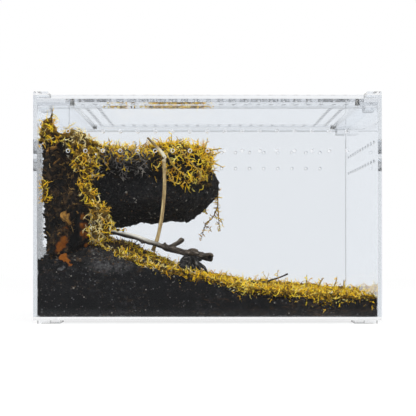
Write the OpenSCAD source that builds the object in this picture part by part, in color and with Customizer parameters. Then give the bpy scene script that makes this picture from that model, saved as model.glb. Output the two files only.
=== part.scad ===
// Clear acrylic terrarium: a glued sheet case with drilled walls, a drilled lift-off lid held by magnets,
// stacking tabs, feet, and a planted interior of banked ground, bark, moss and driftwood.
// Millimetres. The origin is the centre of the footprint, on the surface that the feet stand on.
// +Z is up, the front faces -Y, and +X is to the right as seen from the front.

/* [Case] */
// Outside width, from left to right
case_w = 300; // [270:1:360]
// Outside depth, from front to back
case_d = 200; // [184:1:240]
// Overall height, from under the feet to the top of the stacking tabs
case_h = 200; // [188:1:240]
// Thickness of the base and wall sheets
sheet_t = 3; // [2:0.5:5]

/* [Vents] */
// Diameter of a wall vent hole
vent_d = 3.5; // [2.5:0.1:5]
// Distance between vent holes along a row
vent_pitch = 15; // [10:0.5:20]
// Distance between the two rows of a wall
vent_row_gap = 17; // [10:0.5:25]
// From the top edge of the front and back walls to their upper row
front_vent_drop = 31; // [25:0.5:45]
// From the top edge of the side walls to their upper row
side_vent_drop = 38; // [25:0.5:50]
// Least distance from a front or back wall's end to a vent hole
front_vent_margin = 28; // [15:0.5:60]
// Least distance from a side wall's end to a vent hole
side_vent_margin = 20; // [12:0.5:60]

/* [Ledge and rim] */
// Thickness of the ledge strips, which carry the lid
ledge_t = 3; // [2:0.5:5]
// Width of the front and back ledge strips
ledge_front_w = 18; // [17:0.5:26]
// Width of the left ledge strip
ledge_left_w = 29; // [27.5:0.5:40]
// Width of the right ledge strip
ledge_right_w = 15; // [14:0.5:30]
// Width of the front and back rim strips, which lie on the ledge round the lid
rim_front_w = 11; // [6:0.5:12]
// Width of the left rim strip
rim_left_w = 25; // [10:0.5:26.5]
// Width of the right rim strip
rim_right_w = 12; // [6:0.5:13]
// Width of a corner block under the ledge
block_w = 9; // [5:0.5:14]
// Depth of a corner block
block_d = 17; // [8:0.5:18]
// Height of a corner block
block_h = 4; // [3:0.5:10]
// Gap between a corner block and the side wall
block_gap = 1.7; // [0:0.1:4]

/* [Lid] */
// Thickness of the lid, and of the rim strips beside it
lid_t = 3; // [3:0.5:5]
// How far the lid's top lies below the top edge of the walls
lid_drop = 3; // [0:0.5:6]
// Gap all round the lid, between it and the rim
lid_gap = 0.4; // [0.2:0.1:1]
// Diameter of a lid hole
lid_hole_d = 4; // [2.5:0.1:5]
// Distance between lid holes
lid_pitch = 11; // [9:0.5:16]
// Least distance from the lid's edge to a hole's centre
lid_hole_margin = 8; // [7:0.5:20]
// How many rings of holes run round the lid
lid_rings = 2; // [1:1:3]

/* [Magnets] */
// Diameter of a magnet
magnet_d = 4; // [3:0.5:5]
// Height of a lid magnet
lid_magnet_h = 3; // [2:0.5:3]
// Height of a ledge magnet
ledge_magnet_h = 2; // [1:0.5:2]
// From the edges of the rim's opening to a magnet's centre, both ways
magnet_inset = 4; // [3.5:0.1:5]
// Gap between a magnet and its hole
magnet_gap = 0.05; // [0.02:0.01:0.2]

/* [Tabs and feet] */
// Width of a stacking tab
tab_w = 12.5; // [8:0.5:25]
// Depth of a stacking tab
tab_d = 20; // [8:0.5:35]
// Thickness of a stacking tab
tab_t = 3; // [2:0.5:5]
// Length of each leg of an L-shaped foot
foot_l = 20; // [14:0.5:35]
// Width of a foot's legs
foot_leg = 10; // [6:0.5:12]
// Thickness of a foot
foot_t = 3; // [2:0.5:5]
// How far the feet stand in from the walls' outer faces
foot_inset = 3; // [0:0.5:10]

/* [Ground] */
// Depth of the ground at the right wall
soil_low = 16; // [8:1:24]
// Depth of the ground at the left wall
soil_high = 51; // [40:1:56]
// From the left wall to the middle of the ground's slope
slope_at = 128; // [110:1:150]
// How gently the ground slopes
slope_run = 35; // [25:1:50]
// Height of the bank behind the glass, above the slope
bank_h = 16; // [8:1:18]
// From the left wall to the bank's crest
bank_at = 50; // [40:1:60]
// How far the bank spreads to each side of its crest
bank_run = 45; // [30:1:55]
// How far behind the glass the bank reaches its full height
bank_rise = 45; // [25:1:70]
// Thickness of the moss on the ground
ground_moss_t = 6; // [4:0.5:8]

/* [Bark column] */
// Width of the bark column, out from the left wall
column_w = 40; // [34:1:42]
// Depth of the bark column, from front to back
column_d = 96; // [60:1:100]
// From the front wall's inner face to the bark column
column_front = 17; // [12:1:24]
// Space between the bark column's top and the ledge
column_drop = 22; // [16:1:34]
// Thickness of the moss on the bark column
column_moss_t = 6; // [3:0.5:6]
// Space left between the tip of the column's moss and the ledge
moss_tip_drop = 1.5; // [1:0.5:6]

/* [Overhang] */
// How far the overhang reaches out from the bark column
overhang_l = 116; // [90:1:125]
// How far the overhang stands out from the back wall
overhang_d = 124; // [100:1:128]
// Height of the overhang at its middle
overhang_h = 66; // [54:1:74]
// Space between the overhang's top and the ledge
overhang_drop = 30; // [20:1:40]
// Thickness of the moss on the overhang
shelf_moss_t = 9; // [6:0.5:11]

/* [Wood] */
// How far the driftwood branch reaches out from the bark column
branch_l = 112; // [90:1:120]
// Thickness of the driftwood branch at its thick end
branch_d = 6.5; // [4:0.5:8]
// Thickness of the branch's side fork
fork_d = 4; // [3:0.5:5]
// Thickness of the dry reed
reed_d = 2.8; // [2:0.2:4]
// Thickness of the thin twig
twig_d = 1.6; // [1.2:0.2:3]
// Thickness of a hanging moss strand
strand_d = 1.6; // [1.2:0.2:2.4]
// How far the hanging moss reaches below the overhang's middle
strand_drop = 56; // [40:1:60]
// Width of the root knot under the branch
knot_w = 24; // [16:1:30]
// Depth of the root knot, from front to back
knot_d = 18; // [12:1:24]

/* [Hidden] */
CORNERS = [["front_left", -1, -1], ["front_right", 1, -1], ["back_left", -1, 1], ["back_right", 1, 1]];

$fn = 48;
through = 1;

// Case levels
base_z = foot_t;
floor_z = base_z + sheet_t;
wall_top = case_h - tab_t;
lid_top = wall_top - lid_drop;
lid_z = lid_top - lid_t;
ledge_z = lid_z - ledge_t;

// Inside faces of the walls
in_w = case_w - 2 * sheet_t;
in_d = case_d - 2 * sheet_t;
in_x = in_w / 2;
in_y = in_d / 2;

// The opening that the rim leaves for the lid
rim_x0 = -in_x + rim_left_w;
rim_x1 = in_x - rim_right_w;
rim_y1 = in_y - rim_front_w;
lid_w = rim_x1 - rim_x0 - 2 * lid_gap;
lid_d = 2 * (rim_y1 - lid_gap);
lid_x = (rim_x0 + rim_x1) / 2;

// How many holes fit between two margins, and the hole pattern's places about its middle
function fit_count(length, margin, pitch) = floor((length - 2 * margin) / pitch) + 1;
function places(count, pitch) = [for (i = [0 : count - 1]) (i - (count - 1) / 2) * pitch];

// A magnet's place in a corner of the rim's opening
function magnet_at(c) = [
    c[1] < 0 ? rim_x0 + magnet_inset : rim_x1 - magnet_inset,
    c[2] * (rim_y1 - magnet_inset)
];

// Case colours
clear = [0.86, 0.90, 0.93, 0.35];
edge = [0.80, 0.85, 0.88, 0.5];
nickel = [0.45, 0.42, 0.38];

// A flat sheet between two corners
module sheet(x0, x1, y0, y1, z0, z1) {
    translate([x0, y0, z0]) cube([x1 - x0, y1 - y0, z1 - z0]);
}

module base_panel() {
    color(clear) sheet(-case_w / 2, case_w / 2, -case_d / 2, case_d / 2, base_z, floor_z);
}

// Vent holes in two rows through a wall that faces along Y
module wall_vents(length, margin, drop) {
    for (row = [0, 1], x = places(fit_count(length, margin, vent_pitch), vent_pitch))
        translate([x, 0, wall_top - drop - row * vent_row_gap])
            rotate([90, 0, 0]) cylinder(h = sheet_t + 2 * through, d = vent_d, center = true);
}

module long_panel(side) {
    color(clear) translate([0, side * (in_y + sheet_t / 2), 0]) difference() {
        sheet(-case_w / 2, case_w / 2, -sheet_t / 2, sheet_t / 2, floor_z, wall_top);
        wall_vents(case_w, front_vent_margin, front_vent_drop);
    }
}

module side_panel(side) {
    color(clear) translate([side * (in_x + sheet_t / 2), 0, 0]) difference() {
        sheet(-sheet_t / 2, sheet_t / 2, -in_y, in_y, floor_z, wall_top);
        rotate([0, 0, 90]) wall_vents(in_d, side_vent_margin, side_vent_drop);
    }
}

// The front and back strips run the whole width, and the side strips fit between them
module ledge_long(side) {
    y0 = in_y - ledge_front_w;
    color(edge) difference() {
        sheet(-in_x, in_x, min(side * y0, side * in_y), max(side * y0, side * in_y), ledge_z, lid_z);
        for (c = CORNERS) if (c[2] == side) translate([each magnet_at(c), lid_z - ledge_magnet_h])
            cylinder(h = ledge_magnet_h + through, d = magnet_d + 2 * magnet_gap);
    }
}

module ledge_short(x0, x1) {
    color(edge) sheet(x0, x1, -in_y + ledge_front_w, in_y - ledge_front_w, ledge_z, lid_z);
}

module rim_long(side) {
    y0 = min(side * rim_y1, side * in_y);
    color(edge) sheet(rim_x0, rim_x1, y0, y0 + rim_front_w, lid_z, lid_top);
}

module rim_short(x0, x1) {
    color(edge) sheet(x0, x1, -in_y, in_y, lid_z, lid_top);
}

module corner_block(c) {
    x = c[1] * (in_x - block_gap - block_w / 2);
    y = c[2] * (in_y - block_d / 2);
    color(edge) translate([x, y, ledge_z - block_h / 2]) cube([block_w, block_d, block_h], center = true);
}

module stacking_tab(c) {
    x = c[1] * (case_w - tab_w) / 2;
    y = c[2] * (case_d - tab_d) / 2;
    color(edge) translate([x, y, wall_top + tab_t / 2]) cube([tab_w, tab_d, tab_t], center = true);
}

// An L of two legs: one along the front or back, one along the inner side
module foot(c) {
    x = c[1] * (case_w / 2 - foot_inset);
    y = c[2] * (case_d / 2 - foot_inset);
    color(edge) translate([x, y, 0]) scale([-c[1], -c[2], 1]) linear_extrude(foot_t)
        polygon([[0, 0], [foot_l, 0], [foot_l, foot_l], [foot_l - foot_leg, foot_l],
            [foot_l - foot_leg, foot_leg], [0, foot_leg]]);
}

module magnet(c, z, h) {
    color(nickel) translate([each magnet_at(c), z]) cylinder(h = h, d = magnet_d);
}

// Holes in rings round the lid's edge: the middle stays plain
module lid_panel() {
    nx = fit_count(lid_w, lid_hole_margin, lid_pitch);
    ny = fit_count(lid_d, lid_hole_margin, lid_pitch);
    xs = places(nx, lid_pitch);
    ys = places(ny, lid_pitch);
    color(clear) translate([lid_x, 0, lid_z]) difference() {
        sheet(-lid_w / 2, lid_w / 2, -lid_d / 2, lid_d / 2, 0, lid_t);
        for (i = [0 : nx - 1], j = [0 : ny - 1])
            if (min(i, nx - 1 - i, j, ny - 1 - j) < lid_rings)
                translate([xs[i], ys[j], -through]) cylinder(h = lid_t + 2 * through, d = lid_hole_d);
        for (c = CORNERS) translate([magnet_at(c)[0] - lid_x, magnet_at(c)[1], -through])
            cylinder(h = lid_magnet_h + through, d = magnet_d + 2 * magnet_gap);
    }
}

// The planted interior. Its places are measured from the inner left, front and floor corner:
// u runs to the right, v to the back and w up.
u_right = in_w;
v_back = in_d;
w_ledge = ledge_z - floor_z;
seat = 0.4;

earth = [0.08, 0.07, 0.07];
bark = [0.16, 0.10, 0.06];
moss = [0.66, 0.52, 0.12];
dry = [0.60, 0.46, 0.26];
wood = [0.36, 0.31, 0.27];

module inside() {
    translate([-in_x, -in_y, floor_z]) children();
}

function ease(t) = let (s = max(0, min(1, t))) s * s * (3 - 2 * s);
function bump(t) = exp(-t * t);
function mix(a, b, t) = a + (b - a) * t;
function unit(p) = p / norm(p);
function ripple(a, b) = (sin(a * 5.1 + b * 2.3) + sin(a * 2.7 - b * 4.1 + 40) + sin(b * 6.3 + 110)) / 3;

// A closed solid between two grids of points, n by m, in rows of m
function grid_faces(n, m, o, down) = [
    for (i = [0 : n - 2], j = [0 : m - 2], half = [0, 1])
        let (a = o + i * m + j, b = a + m, f = half == 0 ? [a, b, b + 1] : [a, b + 1, a + 1])
        down ? f : [f[2], f[1], f[0]]
];
function grid_rim(n, m) = concat(
    [for (i = [0 : n - 1]) i * m],
    [for (j = [1 : m - 1]) (n - 1) * m + j],
    [for (i = [n - 2 : -1 : 0]) i * m + m - 1],
    [for (j = [m - 2 : -1 : 1]) j]
);
module slab(lower, upper, n, m) {
    r = grid_rim(n, m);
    k = len(r);
    o = n * m;
    walls = [for (i = [0 : k - 1], half = [0, 1])
        let (a = r[i], b = r[(i + 1) % k])
        half == 0 ? [a, o + a, o + b] : [a, o + b, b]];
    polyhedron(concat(lower, upper), concat(grid_faces(n, m, 0, true), grid_faces(n, m, o, false), walls));
}

// A round stem along points, with a radius at each, and flat ends
function ring_faces(n, m) = [
    for (i = [0 : n - 2], j = [0 : m - 1], half = [0, 1])
        let (a = i * m + j, b = i * m + (j + 1) % m, c = a + m, d = b + m)
        half == 0 ? [a, c, d] : [a, d, b]
];
module stem(path, radii, sides = 8) {
    n = len(path);
    rings = [for (i = [0 : n - 1])
        let (along = unit(path[min(i + 1, n - 1)] - path[max(i - 1, 0)]),
             across = unit(cross(along, [0, 1, 0])),
             back = cross(along, across))
        for (j = [0 : sides - 1])
            path[i] + radii[i] * (across * cos(360 * j / sides) + back * sin(360 * j / sides))];
    polyhedron(rings, concat(ring_faces(n, sides),
        [[for (j = [0 : sides - 1]) j], [for (j = [sides - 1 : -1 : 0]) (n - 1) * sides + j]]));
}

// Height of the ground: one long slope, and a bank that rises behind the glass
function slope(u) = soil_low + (soil_high - soil_low) / (1 + exp((u - slope_at) / slope_run));
function bank(u, v) = bank_h * bump((u - bank_at) / bank_run) * ease(v / bank_rise);
soil_n = 30;
soil_m = 15;
soil_du = u_right / (soil_n - 1);
soil_dv = v_back / (soil_m - 1);
function soil_z(i, j) = let (u = i * soil_du, v = j * soil_dv) slope(u) + bank(u, v) + 0.6 * ripple(u, v);
function soil_point(i, j, up) = [i * soil_du, j * soil_dv, soil_z(i, j) + up];

// The same height between the grid's points
function ground(u, v) =
    let (i = max(0, min(soil_n - 2, floor(u / soil_du))), j = max(0, min(soil_m - 2, floor(v / soil_dv))),
         s = u / soil_du - i, t = v / soil_dv - j,
         a = soil_z(i, j), b = soil_z(i + 1, j), c = soil_z(i + 1, j + 1), d = soil_z(i, j + 1))
    s > t ? a + s * (b - a) + t * (c - b) : a + t * (d - a) + s * (c - d);
function moss_top(u, v) = ground(u, v) + seat + ground_moss_t;

// The ground fills the case from wall to wall. What stands on it is cut by the same block, a little higher.
module ground_block(up) {
    slab([for (i = [0 : soil_n - 1], j = [0 : soil_m - 1]) [i * soil_du, j * soil_dv, 0]],
        [for (i = [0 : soil_n - 1], j = [0 : soil_m - 1]) soil_point(i, j, up)], soil_n, soil_m);
}
module soil_bed() {
    color(earth) inside() ground_block(0);
}

// Moss over the ground, from the bank's crest to the right wall. In front of the bank the ground is bare.
moss_edge = 2;
module ground_moss() {
    u0 = column_w + moss_edge;
    color(moss) inside() intersection() {
        slab([for (i = [0 : soil_n - 1], j = [0 : soil_m - 1]) soil_point(i, j, seat)],
            [for (i = [0 : soil_n - 1], j = [0 : soil_m - 1]) soil_point(i, j, seat + ground_moss_t)],
            soil_n, soil_m);
        linear_extrude(w_ledge) polygon([[u0, bank_rise * 0.8], [u0 + bank_run * 1.4, moss_edge],
            [u_right - moss_edge, moss_edge], [u_right - moss_edge, v_back - moss_edge],
            [u0, v_back - moss_edge]]);
    }
}

// The bark column: knobbly rings round an upright axis, flat on the left wall and towards the overhang
column_top = w_ledge - column_drop;
column_rings = 13;
column_sides = 22;
column_u = column_w / 2;
column_v = column_front + column_d / 2;
function squircle(c) = sign(c) * pow(abs(c), 0.7);
function column_knobs(t, a) = 1 + 0.06 * sin(a * 3 + t * 260) + 0.04 * sin(a * 5 - t * 400);
function column_point(t, a, grow) =
    let (swell = column_knobs(t, a) * (1.04 - 0.14 * ease(t)),
         u = column_u + (column_u * 1.1 * swell + grow) * squircle(cos(a)),
         v = column_v + (column_d / 2 * 0.9 * swell + grow) * squircle(sin(a)),
         low = soil_low,
         sag = 6 * (1 - bump((v - column_v) / 40)))
    [max(seat, min(column_w + grow, u)), v, mix(low, column_top - sag, t)];
column_mid = [column_u, column_v, column_top];
module bark_column() {
    pts = [for (i = [0 : column_rings - 1], j = [0 : column_sides - 1])
        column_point(i / (column_rings - 1), 360 * j / column_sides, 0)];
    n = len(pts);
    o = (column_rings - 1) * column_sides;
    caps = [for (j = [0 : column_sides - 1], end = [0, 1])
        let (k = (j + 1) % column_sides)
        end == 0 ? [n, j, k] : [n + 1, o + k, o + j]];
    color(bark) inside() difference() {
        polyhedron(concat(pts, [[column_u, column_v, soil_low], column_mid]),
            concat(ring_faces(column_rings, column_sides), caps));
        ground_block(seat);
    }
}

// Moss over the column's top and down its right side, with a plume that stands up to the ledge
// and a clump low down beside the column
plume_r = 6;
clump_r = 9;
module column_moss() {
    angles = [for (a = [-130 : 11 : -9]) a];
    rows = 5;
    inward = [0.8, 0.5];
    function fringe(a) = mix(0.86, 0.48, ease((a + 95) / 30));
    function skin(a, grow) = concat(
        [for (i = [0 : rows - 1]) column_point(mix(fringe(a), 0.94, i / (rows - 1)), a, grow)],
        [column_point(1, a, grow * 0.7) + [0, 0, grow * 0.7]],
        [for (q = inward) mix(column_mid, column_point(1, a, 0), q) + [0, 0, grow]]
    );
    tip = w_ledge - moss_tip_drop;
    plume_v = column_front + plume_r + column_moss_t / 2;
    rise = tip - column_top;
    clump_v = column_v - column_d * 0.3;
    clump_u = column_w + 2 * seat;
    color(moss) inside() {
        slab([for (a = angles) each skin(a, seat)], [for (a = angles) each skin(a, column_moss_t)],
            len(angles), rows + 1 + len(inward));
        stem([[plume_r + 1, plume_v, column_top + seat], [plume_r + 1, plume_v, column_top + rise * 0.4],
            [plume_r + 2, plume_v, column_top + rise * 0.75], [plume_r + 4, plume_v, tip]],
            [plume_r * 0.8, plume_r, plume_r * 0.6, plume_r * 0.15]);
        difference() {
            stem([[clump_u + clump_r, clump_v, ground(clump_u + clump_r, clump_v)],
                [clump_u + clump_r, clump_v, column_top * 0.47], [clump_u + clump_r * 0.8, clump_v, column_top * 0.54],
                [clump_u + clump_r * 0.5, clump_v, column_top * 0.6]],
                [clump_r, clump_r, clump_r * 0.75, clump_r * 0.4], 10);
            ground_block(ground_moss_t + 2 * seat);
        }
    }
}

// The overhang: a blunt block on the back wall with a rounded nose at its right end
overhang_u = column_w + seat;
overhang_v = v_back - overhang_d;
overhang_top = w_ledge - overhang_drop;
overhang_mid = overhang_top - overhang_h * 0.46;
overhang_n = 20;
overhang_m = 9;
function nose(t) = sqrt(max(0, 1 - pow(max(0, (t - 0.78) / 0.22), 2)));
function chin(t) = 1 - pow(max(0, (t - 0.72) / 0.28), 1.4);
function blunt(s) = 0.55 + 0.45 * sqrt(1 - pow(1 - min(1, s * 1.6), 2));
function overhang_at(t, s) =
    let (u = overhang_u + overhang_l * t,
         plan = sqrt(1 - 0.8 * pow(max(0, (t - 0.55) / 0.45), 2)),
         front = v_back - overhang_d * plan * (1 - 0.02 * (1 + ripple(u * 2, 0))))
    [u, mix(front, v_back, s)];
function overhang_point(t, s, side) =
    let (p = overhang_at(t, s),
         deep = side > 0 ? overhang_h * 0.46 : overhang_h * 0.54 * (1.22 - 0.22 * ease(t / 0.5)),
         reach = deep * (0.3 + 0.7 * (side > 0 ? nose(t) : chin(t))) * blunt(s))
    [p[0], p[1], overhang_mid + side * (reach - 1.5 * (1 + ripple(p[0] * 1.7, p[1] * 1.3)))];
module overhang() {
    ts = [for (i = [0 : overhang_n - 1]) i / (overhang_n - 1)];
    ss = [for (j = [0 : overhang_m - 1]) j / (overhang_m - 1)];
    color(earth) inside() slab([for (t = ts, s = ss) overhang_point(t, s, -1)],
        [for (t = ts, s = ss) overhang_point(t, s, 1)], overhang_n, overhang_m);
}

// Moss on the overhang's top, which also hangs a little way down its front
module shelf_moss() {
    ts = [for (i = [overhang_n - 2 : -1 : 1]) i / (overhang_n - 1)];
    ss = [for (j = [overhang_m - 2 : -1 : 1]) j / (overhang_m - 1)];
    drops = [0.3, 0.65, 1];
    m = len(ss) + 1 + len(drops);
    function hang(t) = overhang_h * (0.12 + 0.22 * bump((t - 0.8) / 0.25)) * (0.4 + 0.6 * nose(t));
    function skin(t, grow) = let (brow = overhang_point(t, 0, 1)) concat(
        [for (s = ss) overhang_point(t, s, 1) + [0, 0, grow]],
        [brow + [0, -grow * 0.75, grow * 0.75]],
        [for (d = drops) brow + [0, -grow * (1.1 - 0.5 * d), -hang(t) * d]]
    );
    color(moss) inside() slab([for (t = ts) each skin(t, seat)], [for (t = ts) each skin(t, shelf_moss_t)],
        len(ts), m);
}

// Wisps of moss that hang from the nose
module hanging_moss() {
    u = overhang_u + overhang_l;
    v = mix(overhang_at(1, 0)[1], v_back, 0.3);
    w = overhang_mid;
    r = strand_d / 2;
    d = strand_drop;
    hook = u + r + seat;
    color(moss) inside() {
        stem([[hook, v, w - d * 0.07], [hook, v, w - d * 0.39], [u + d * 0.04, v, w - d * 0.61],
            [u + d * 0.07, v, w - d * 0.82]], [r, r, r, r * 0.7], 6);
        stem([[hook, v, w - d * 0.36], [u - d * 0.07, v, w - d * 0.57], [u - d * 0.2, v, w - d * 0.71],
            [u - d * 0.29, v, w - d]], [r, r, r, r * 0.7], 6);
    }
}

// Wood: each piece lies on the moss or leans on the overhang
reed_v = overhang_v - shelf_moss_t - reed_d / 2 - 1;
branch_v = reed_v - reed_d / 2 - branch_d / 2 - 1;
function on_moss(u, v, lift) = [u, v, moss_top(u, v) + lift];

// Along the reed: distance from the column, and the share of its height
reed_route = [[55, 0], [57.5, 0.14], [64, 0.42], [66, 0.6], [68, 0.8], [66.5, 0.85], [57, 0.93], [51, 1]];
module reed_stem() {
    foot_w = moss_top(column_w + reed_route[0][0], reed_v) + 2 * seat;
    head_w = overhang_top + shelf_moss_t;
    r = reed_d / 2;
    color(dry) inside() stem([for (p = reed_route) [column_w + p[0], reed_v, mix(foot_w, head_w, p[1])]],
        [for (p = reed_route) r * (1 - 0.15 * p[1])]);
}

// Along the branch, as shares of its reach: distance from the column and height above the moss.
// The third is its share of the full thickness.
branch_route = [[0, 0.067, 0.55], [0.11, 0.049, 0.6], [0.28, 0.058, 0.72], [0.48, 0.089, 0.82],
    [0.61, 0.107, 0.9], [0.77, 0.112, 1], [0.89, 0.125, 1], [1, 0.138, 1.05]];
function branch_points() = [for (p = branch_route)
    on_moss(column_w + max(seat, p[0] * branch_l), branch_v, p[1] * branch_l)];
module driftwood_branch() {
    path = branch_points();
    root = path[4];
    r = branch_d / 2;
    color(wood) inside() {
        stem(path, [for (p = branch_route) r * p[2]]);
        stem([root, root + [0, 0, r] + [1.25, 0, 0.5] * fork_d, root + [0, 0, r] + [3.5, -0.25, 1.25] * fork_d],
            [0.6, 0.5, 0.4] * fork_d);
    }
}

// The knot of old root that props the branch up near its right end
knot_n = 9;
module root_knot() {
    path = branch_points();
    at = (path[5] + path[6]) / 2;
    w1 = min(path[5][2], path[6][2]) - branch_d / 2 - seat;
    w0 = ground(at[0], at[1]);
    color(bark) inside() difference() {
        slab([for (i = [0 : knot_n - 1], j = [0 : knot_n - 1]) knot_point(at, i, j, w0, w0)],
            [for (i = [0 : knot_n - 1], j = [0 : knot_n - 1]) knot_point(at, i, j, w0, w1)], knot_n, knot_n);
        ground_block(ground_moss_t + 2 * seat);
    }
}
function knot_point(at, i, j, w0, w1) =
    let (s = i / (knot_n - 1) * 2 - 1, t = j / (knot_n - 1) * 2 - 1,
         edge_u = s * sqrt(1 - t * t / 2), edge_v = t * sqrt(1 - s * s / 2),
         dome = sqrt(max(0, 1 - 0.75 * (edge_u * edge_u + edge_v * edge_v))))
    [at[0] - 3 + knot_w / 2 * edge_u, at[1] + knot_d / 2 * edge_v,
        w0 + (w1 - w0) * dome * (1 - 0.12 * (1 + sin(s * 300 + t * 170)))];

// Along the twig: distance from the right wall, and height above the moss
twig_route = [[95, 0.3], [83, 4], [70, 9.5]];
module twig() {
    v = v_back * 0.45;
    r = twig_d / 2;
    color(wood) inside() stem([for (p = twig_route) on_moss(u_right - p[0], v, p[1] + r)],
        [r, r * 0.9, r * 0.6], 6);
}

base_panel();
long_panel(-1);  // front_panel
long_panel(1);  // back_panel
side_panel(-1);  // left_panel
side_panel(1);  // right_panel
ledge_long(-1);  // ledge_front
ledge_long(1);  // ledge_back
ledge_short(-in_x, -in_x + ledge_left_w);  // ledge_left
ledge_short(in_x - ledge_right_w, in_x);  // ledge_right
rim_long(-1);  // rim_front
rim_long(1);  // rim_back
rim_short(-in_x, rim_x0);  // rim_left
rim_short(rim_x1, in_x);  // rim_right
for (c = CORNERS) {
    corner_block(c);
    stacking_tab(c);
    foot(c);
    magnet(c, lid_z - ledge_magnet_h, ledge_magnet_h);
    magnet(c, lid_z, lid_magnet_h);
}
lid_panel();
soil_bed();
bark_column();
overhang();
ground_moss();
column_moss();
shelf_moss();
hanging_moss();
reed_stem();
driftwood_branch();
root_knot();
twig();
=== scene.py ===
import math
import random

import bmesh
import bpy
from mathutils import Matrix, Vector, kdtree, noise


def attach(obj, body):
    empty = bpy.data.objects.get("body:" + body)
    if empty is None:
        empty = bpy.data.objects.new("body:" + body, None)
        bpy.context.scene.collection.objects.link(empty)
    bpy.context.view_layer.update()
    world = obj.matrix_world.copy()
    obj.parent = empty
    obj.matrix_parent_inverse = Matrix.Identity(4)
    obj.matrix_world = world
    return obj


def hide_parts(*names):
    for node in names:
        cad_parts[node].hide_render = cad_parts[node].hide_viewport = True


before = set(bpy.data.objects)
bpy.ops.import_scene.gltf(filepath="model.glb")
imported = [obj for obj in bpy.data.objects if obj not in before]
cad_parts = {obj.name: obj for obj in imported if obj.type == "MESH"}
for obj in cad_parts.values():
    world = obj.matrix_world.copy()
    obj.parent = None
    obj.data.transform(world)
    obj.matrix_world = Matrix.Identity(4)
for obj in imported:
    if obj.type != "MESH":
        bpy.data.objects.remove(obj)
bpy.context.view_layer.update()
MM = 0.001

# The view: a level camera about 0.8 m in front of the case, a little above the ground inside it.
# The lens shift keeps the walls upright in the picture, as in the photograph.
PICTURE = 416
EYE_BACK, EYE_HIGH = 918, 69.6
LENS = 82.3
SHIFT_X, SHIFT_Y = 0.6, 35


def stand(name, data):
    """A new object in the scene, at the origin."""
    obj = bpy.data.objects.new(name, data)
    bpy.context.scene.collection.objects.link(obj)
    return obj


camera = stand("camera", bpy.data.cameras.new("camera"))
camera.location = (0, -EYE_BACK * MM, EYE_HIGH * MM)
camera.rotation_euler = (math.radians(90), 0, 0)
camera.data.lens = LENS
camera.data.shift_x = SHIFT_X / PICTURE
camera.data.shift_y = SHIFT_Y / PICTURE
bpy.context.scene.camera = camera
bpy.context.scene.view_settings.view_transform = "Standard"


# The studio: a plain white floor that runs out of sight and a white surround.
# Seen straight or through the acrylic they are white, and the floor keeps the case's soft shadow.
def join(tree, value, socket):
    """Links a node or socket to an input, or sets a constant on it."""
    if isinstance(value, bpy.types.Node):
        value = value.outputs[0]
    if isinstance(value, bpy.types.NodeSocket):
        tree.links.new(value, socket)
    elif socket.type == "RGBA" and len(value) == 3:
        socket.default_value = (*value, 1)
    else:
        socket.default_value = value


def put(tree, kind, *values, **named):
    """A new node with its inputs in order and, by name, its inputs and settings."""
    node = tree.nodes.new(kind)
    for key, value in named.items():
        socket = node.inputs.get(key.replace("_", " "))
        if socket is None:
            setattr(node, key, value)
        else:
            join(tree, value, socket)
    for socket, value in zip(node.inputs, values):
        join(tree, value, socket)
    return node


def math_node(tree, operation, *values):
    """Arithmetic on numbers."""
    return put(tree, "ShaderNodeMath", *values, operation=operation)


def span(tree, value, *ends):
    """Rescales a number from one range to another, which is 0 to 1 where it isn't given."""
    return put(tree, "ShaderNodeMapRange", value, *ends)


def mix(tree, share, first, second):
    """Mixes two numbers, or two colours where the first is one."""
    colours = isinstance(first, tuple) or getattr(first, "type", "") == "RGBA"
    node = tree.nodes.new("ShaderNodeMix")
    node.data_type = "RGBA" if colours else "FLOAT"
    join(tree, share, node.inputs[0])
    join(tree, first, node.inputs[6 if colours else 2])
    join(tree, second, node.inputs[7 if colours else 3])
    return node.outputs[2 if colours else 0]


FLOOR_SHADOW = 0.22
AMBIENT = 0.62
DARK_FRONT = 0.10
FLOOR_REACH = 9
ANY_BOUNCE = 0.5



def new_mesh(name, points, faces=()):
    """A new mesh from points and the faces between them."""
    mesh = bpy.data.meshes.new(name)
    mesh.from_pydata(points, [], faces)
    return mesh


corners = [(x * FLOOR_REACH, y * FLOOR_REACH, 0) for x, y in ((-1, -1), (1, -1), (1, 1), (-1, 1))]
floor_mesh = new_mesh("studio_floor", corners, [(0, 1, 2, 3)])
stand("studio_floor", floor_mesh)

white = bpy.data.materials.new("studio_white")
white.use_nodes = True
tree = white.node_tree
tree.nodes.clear()
path = put(tree, "ShaderNodeLightPath").outputs
spot = put(tree, "ShaderNodeNewGeometry").outputs["Position"]
mirrored = math_node(tree, "GREATER_THAN", path["Glossy Depth"], ANY_BOUNCE)
away = put(tree, "ShaderNodeVectorMath", spot, operation="LENGTH").outputs["Value"]
shadow = span(tree, away, 0.25, 1.1, FLOOR_SHADOW, 0.0)
share = math_node(tree, "SUBTRACT", 1.0, mix(tree, mirrored, shadow, 0.0))
share = math_node(tree, "MULTIPLY", share, math_node(tree, "LESS_THAN", path["Diffuse Depth"], ANY_BOUNCE))
depth = put(tree, "ShaderNodeSeparateXYZ", spot).outputs["Y"]
gloss = span(tree, depth, -0.3, 0.2, DARK_FRONT, 1.0)
paint = put(tree, "ShaderNodeBsdfDiffuse", Color=(0.9, 0.9, 0.9))
glow = put(tree, "ShaderNodeEmission", Color=(1, 1, 1), Strength=mix(tree, mirrored, 1.0, gloss))
put(tree, "ShaderNodeOutputMaterial", put(tree, "ShaderNodeMixShader", share, paint, glow))
floor_mesh.materials.append(white)

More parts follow.
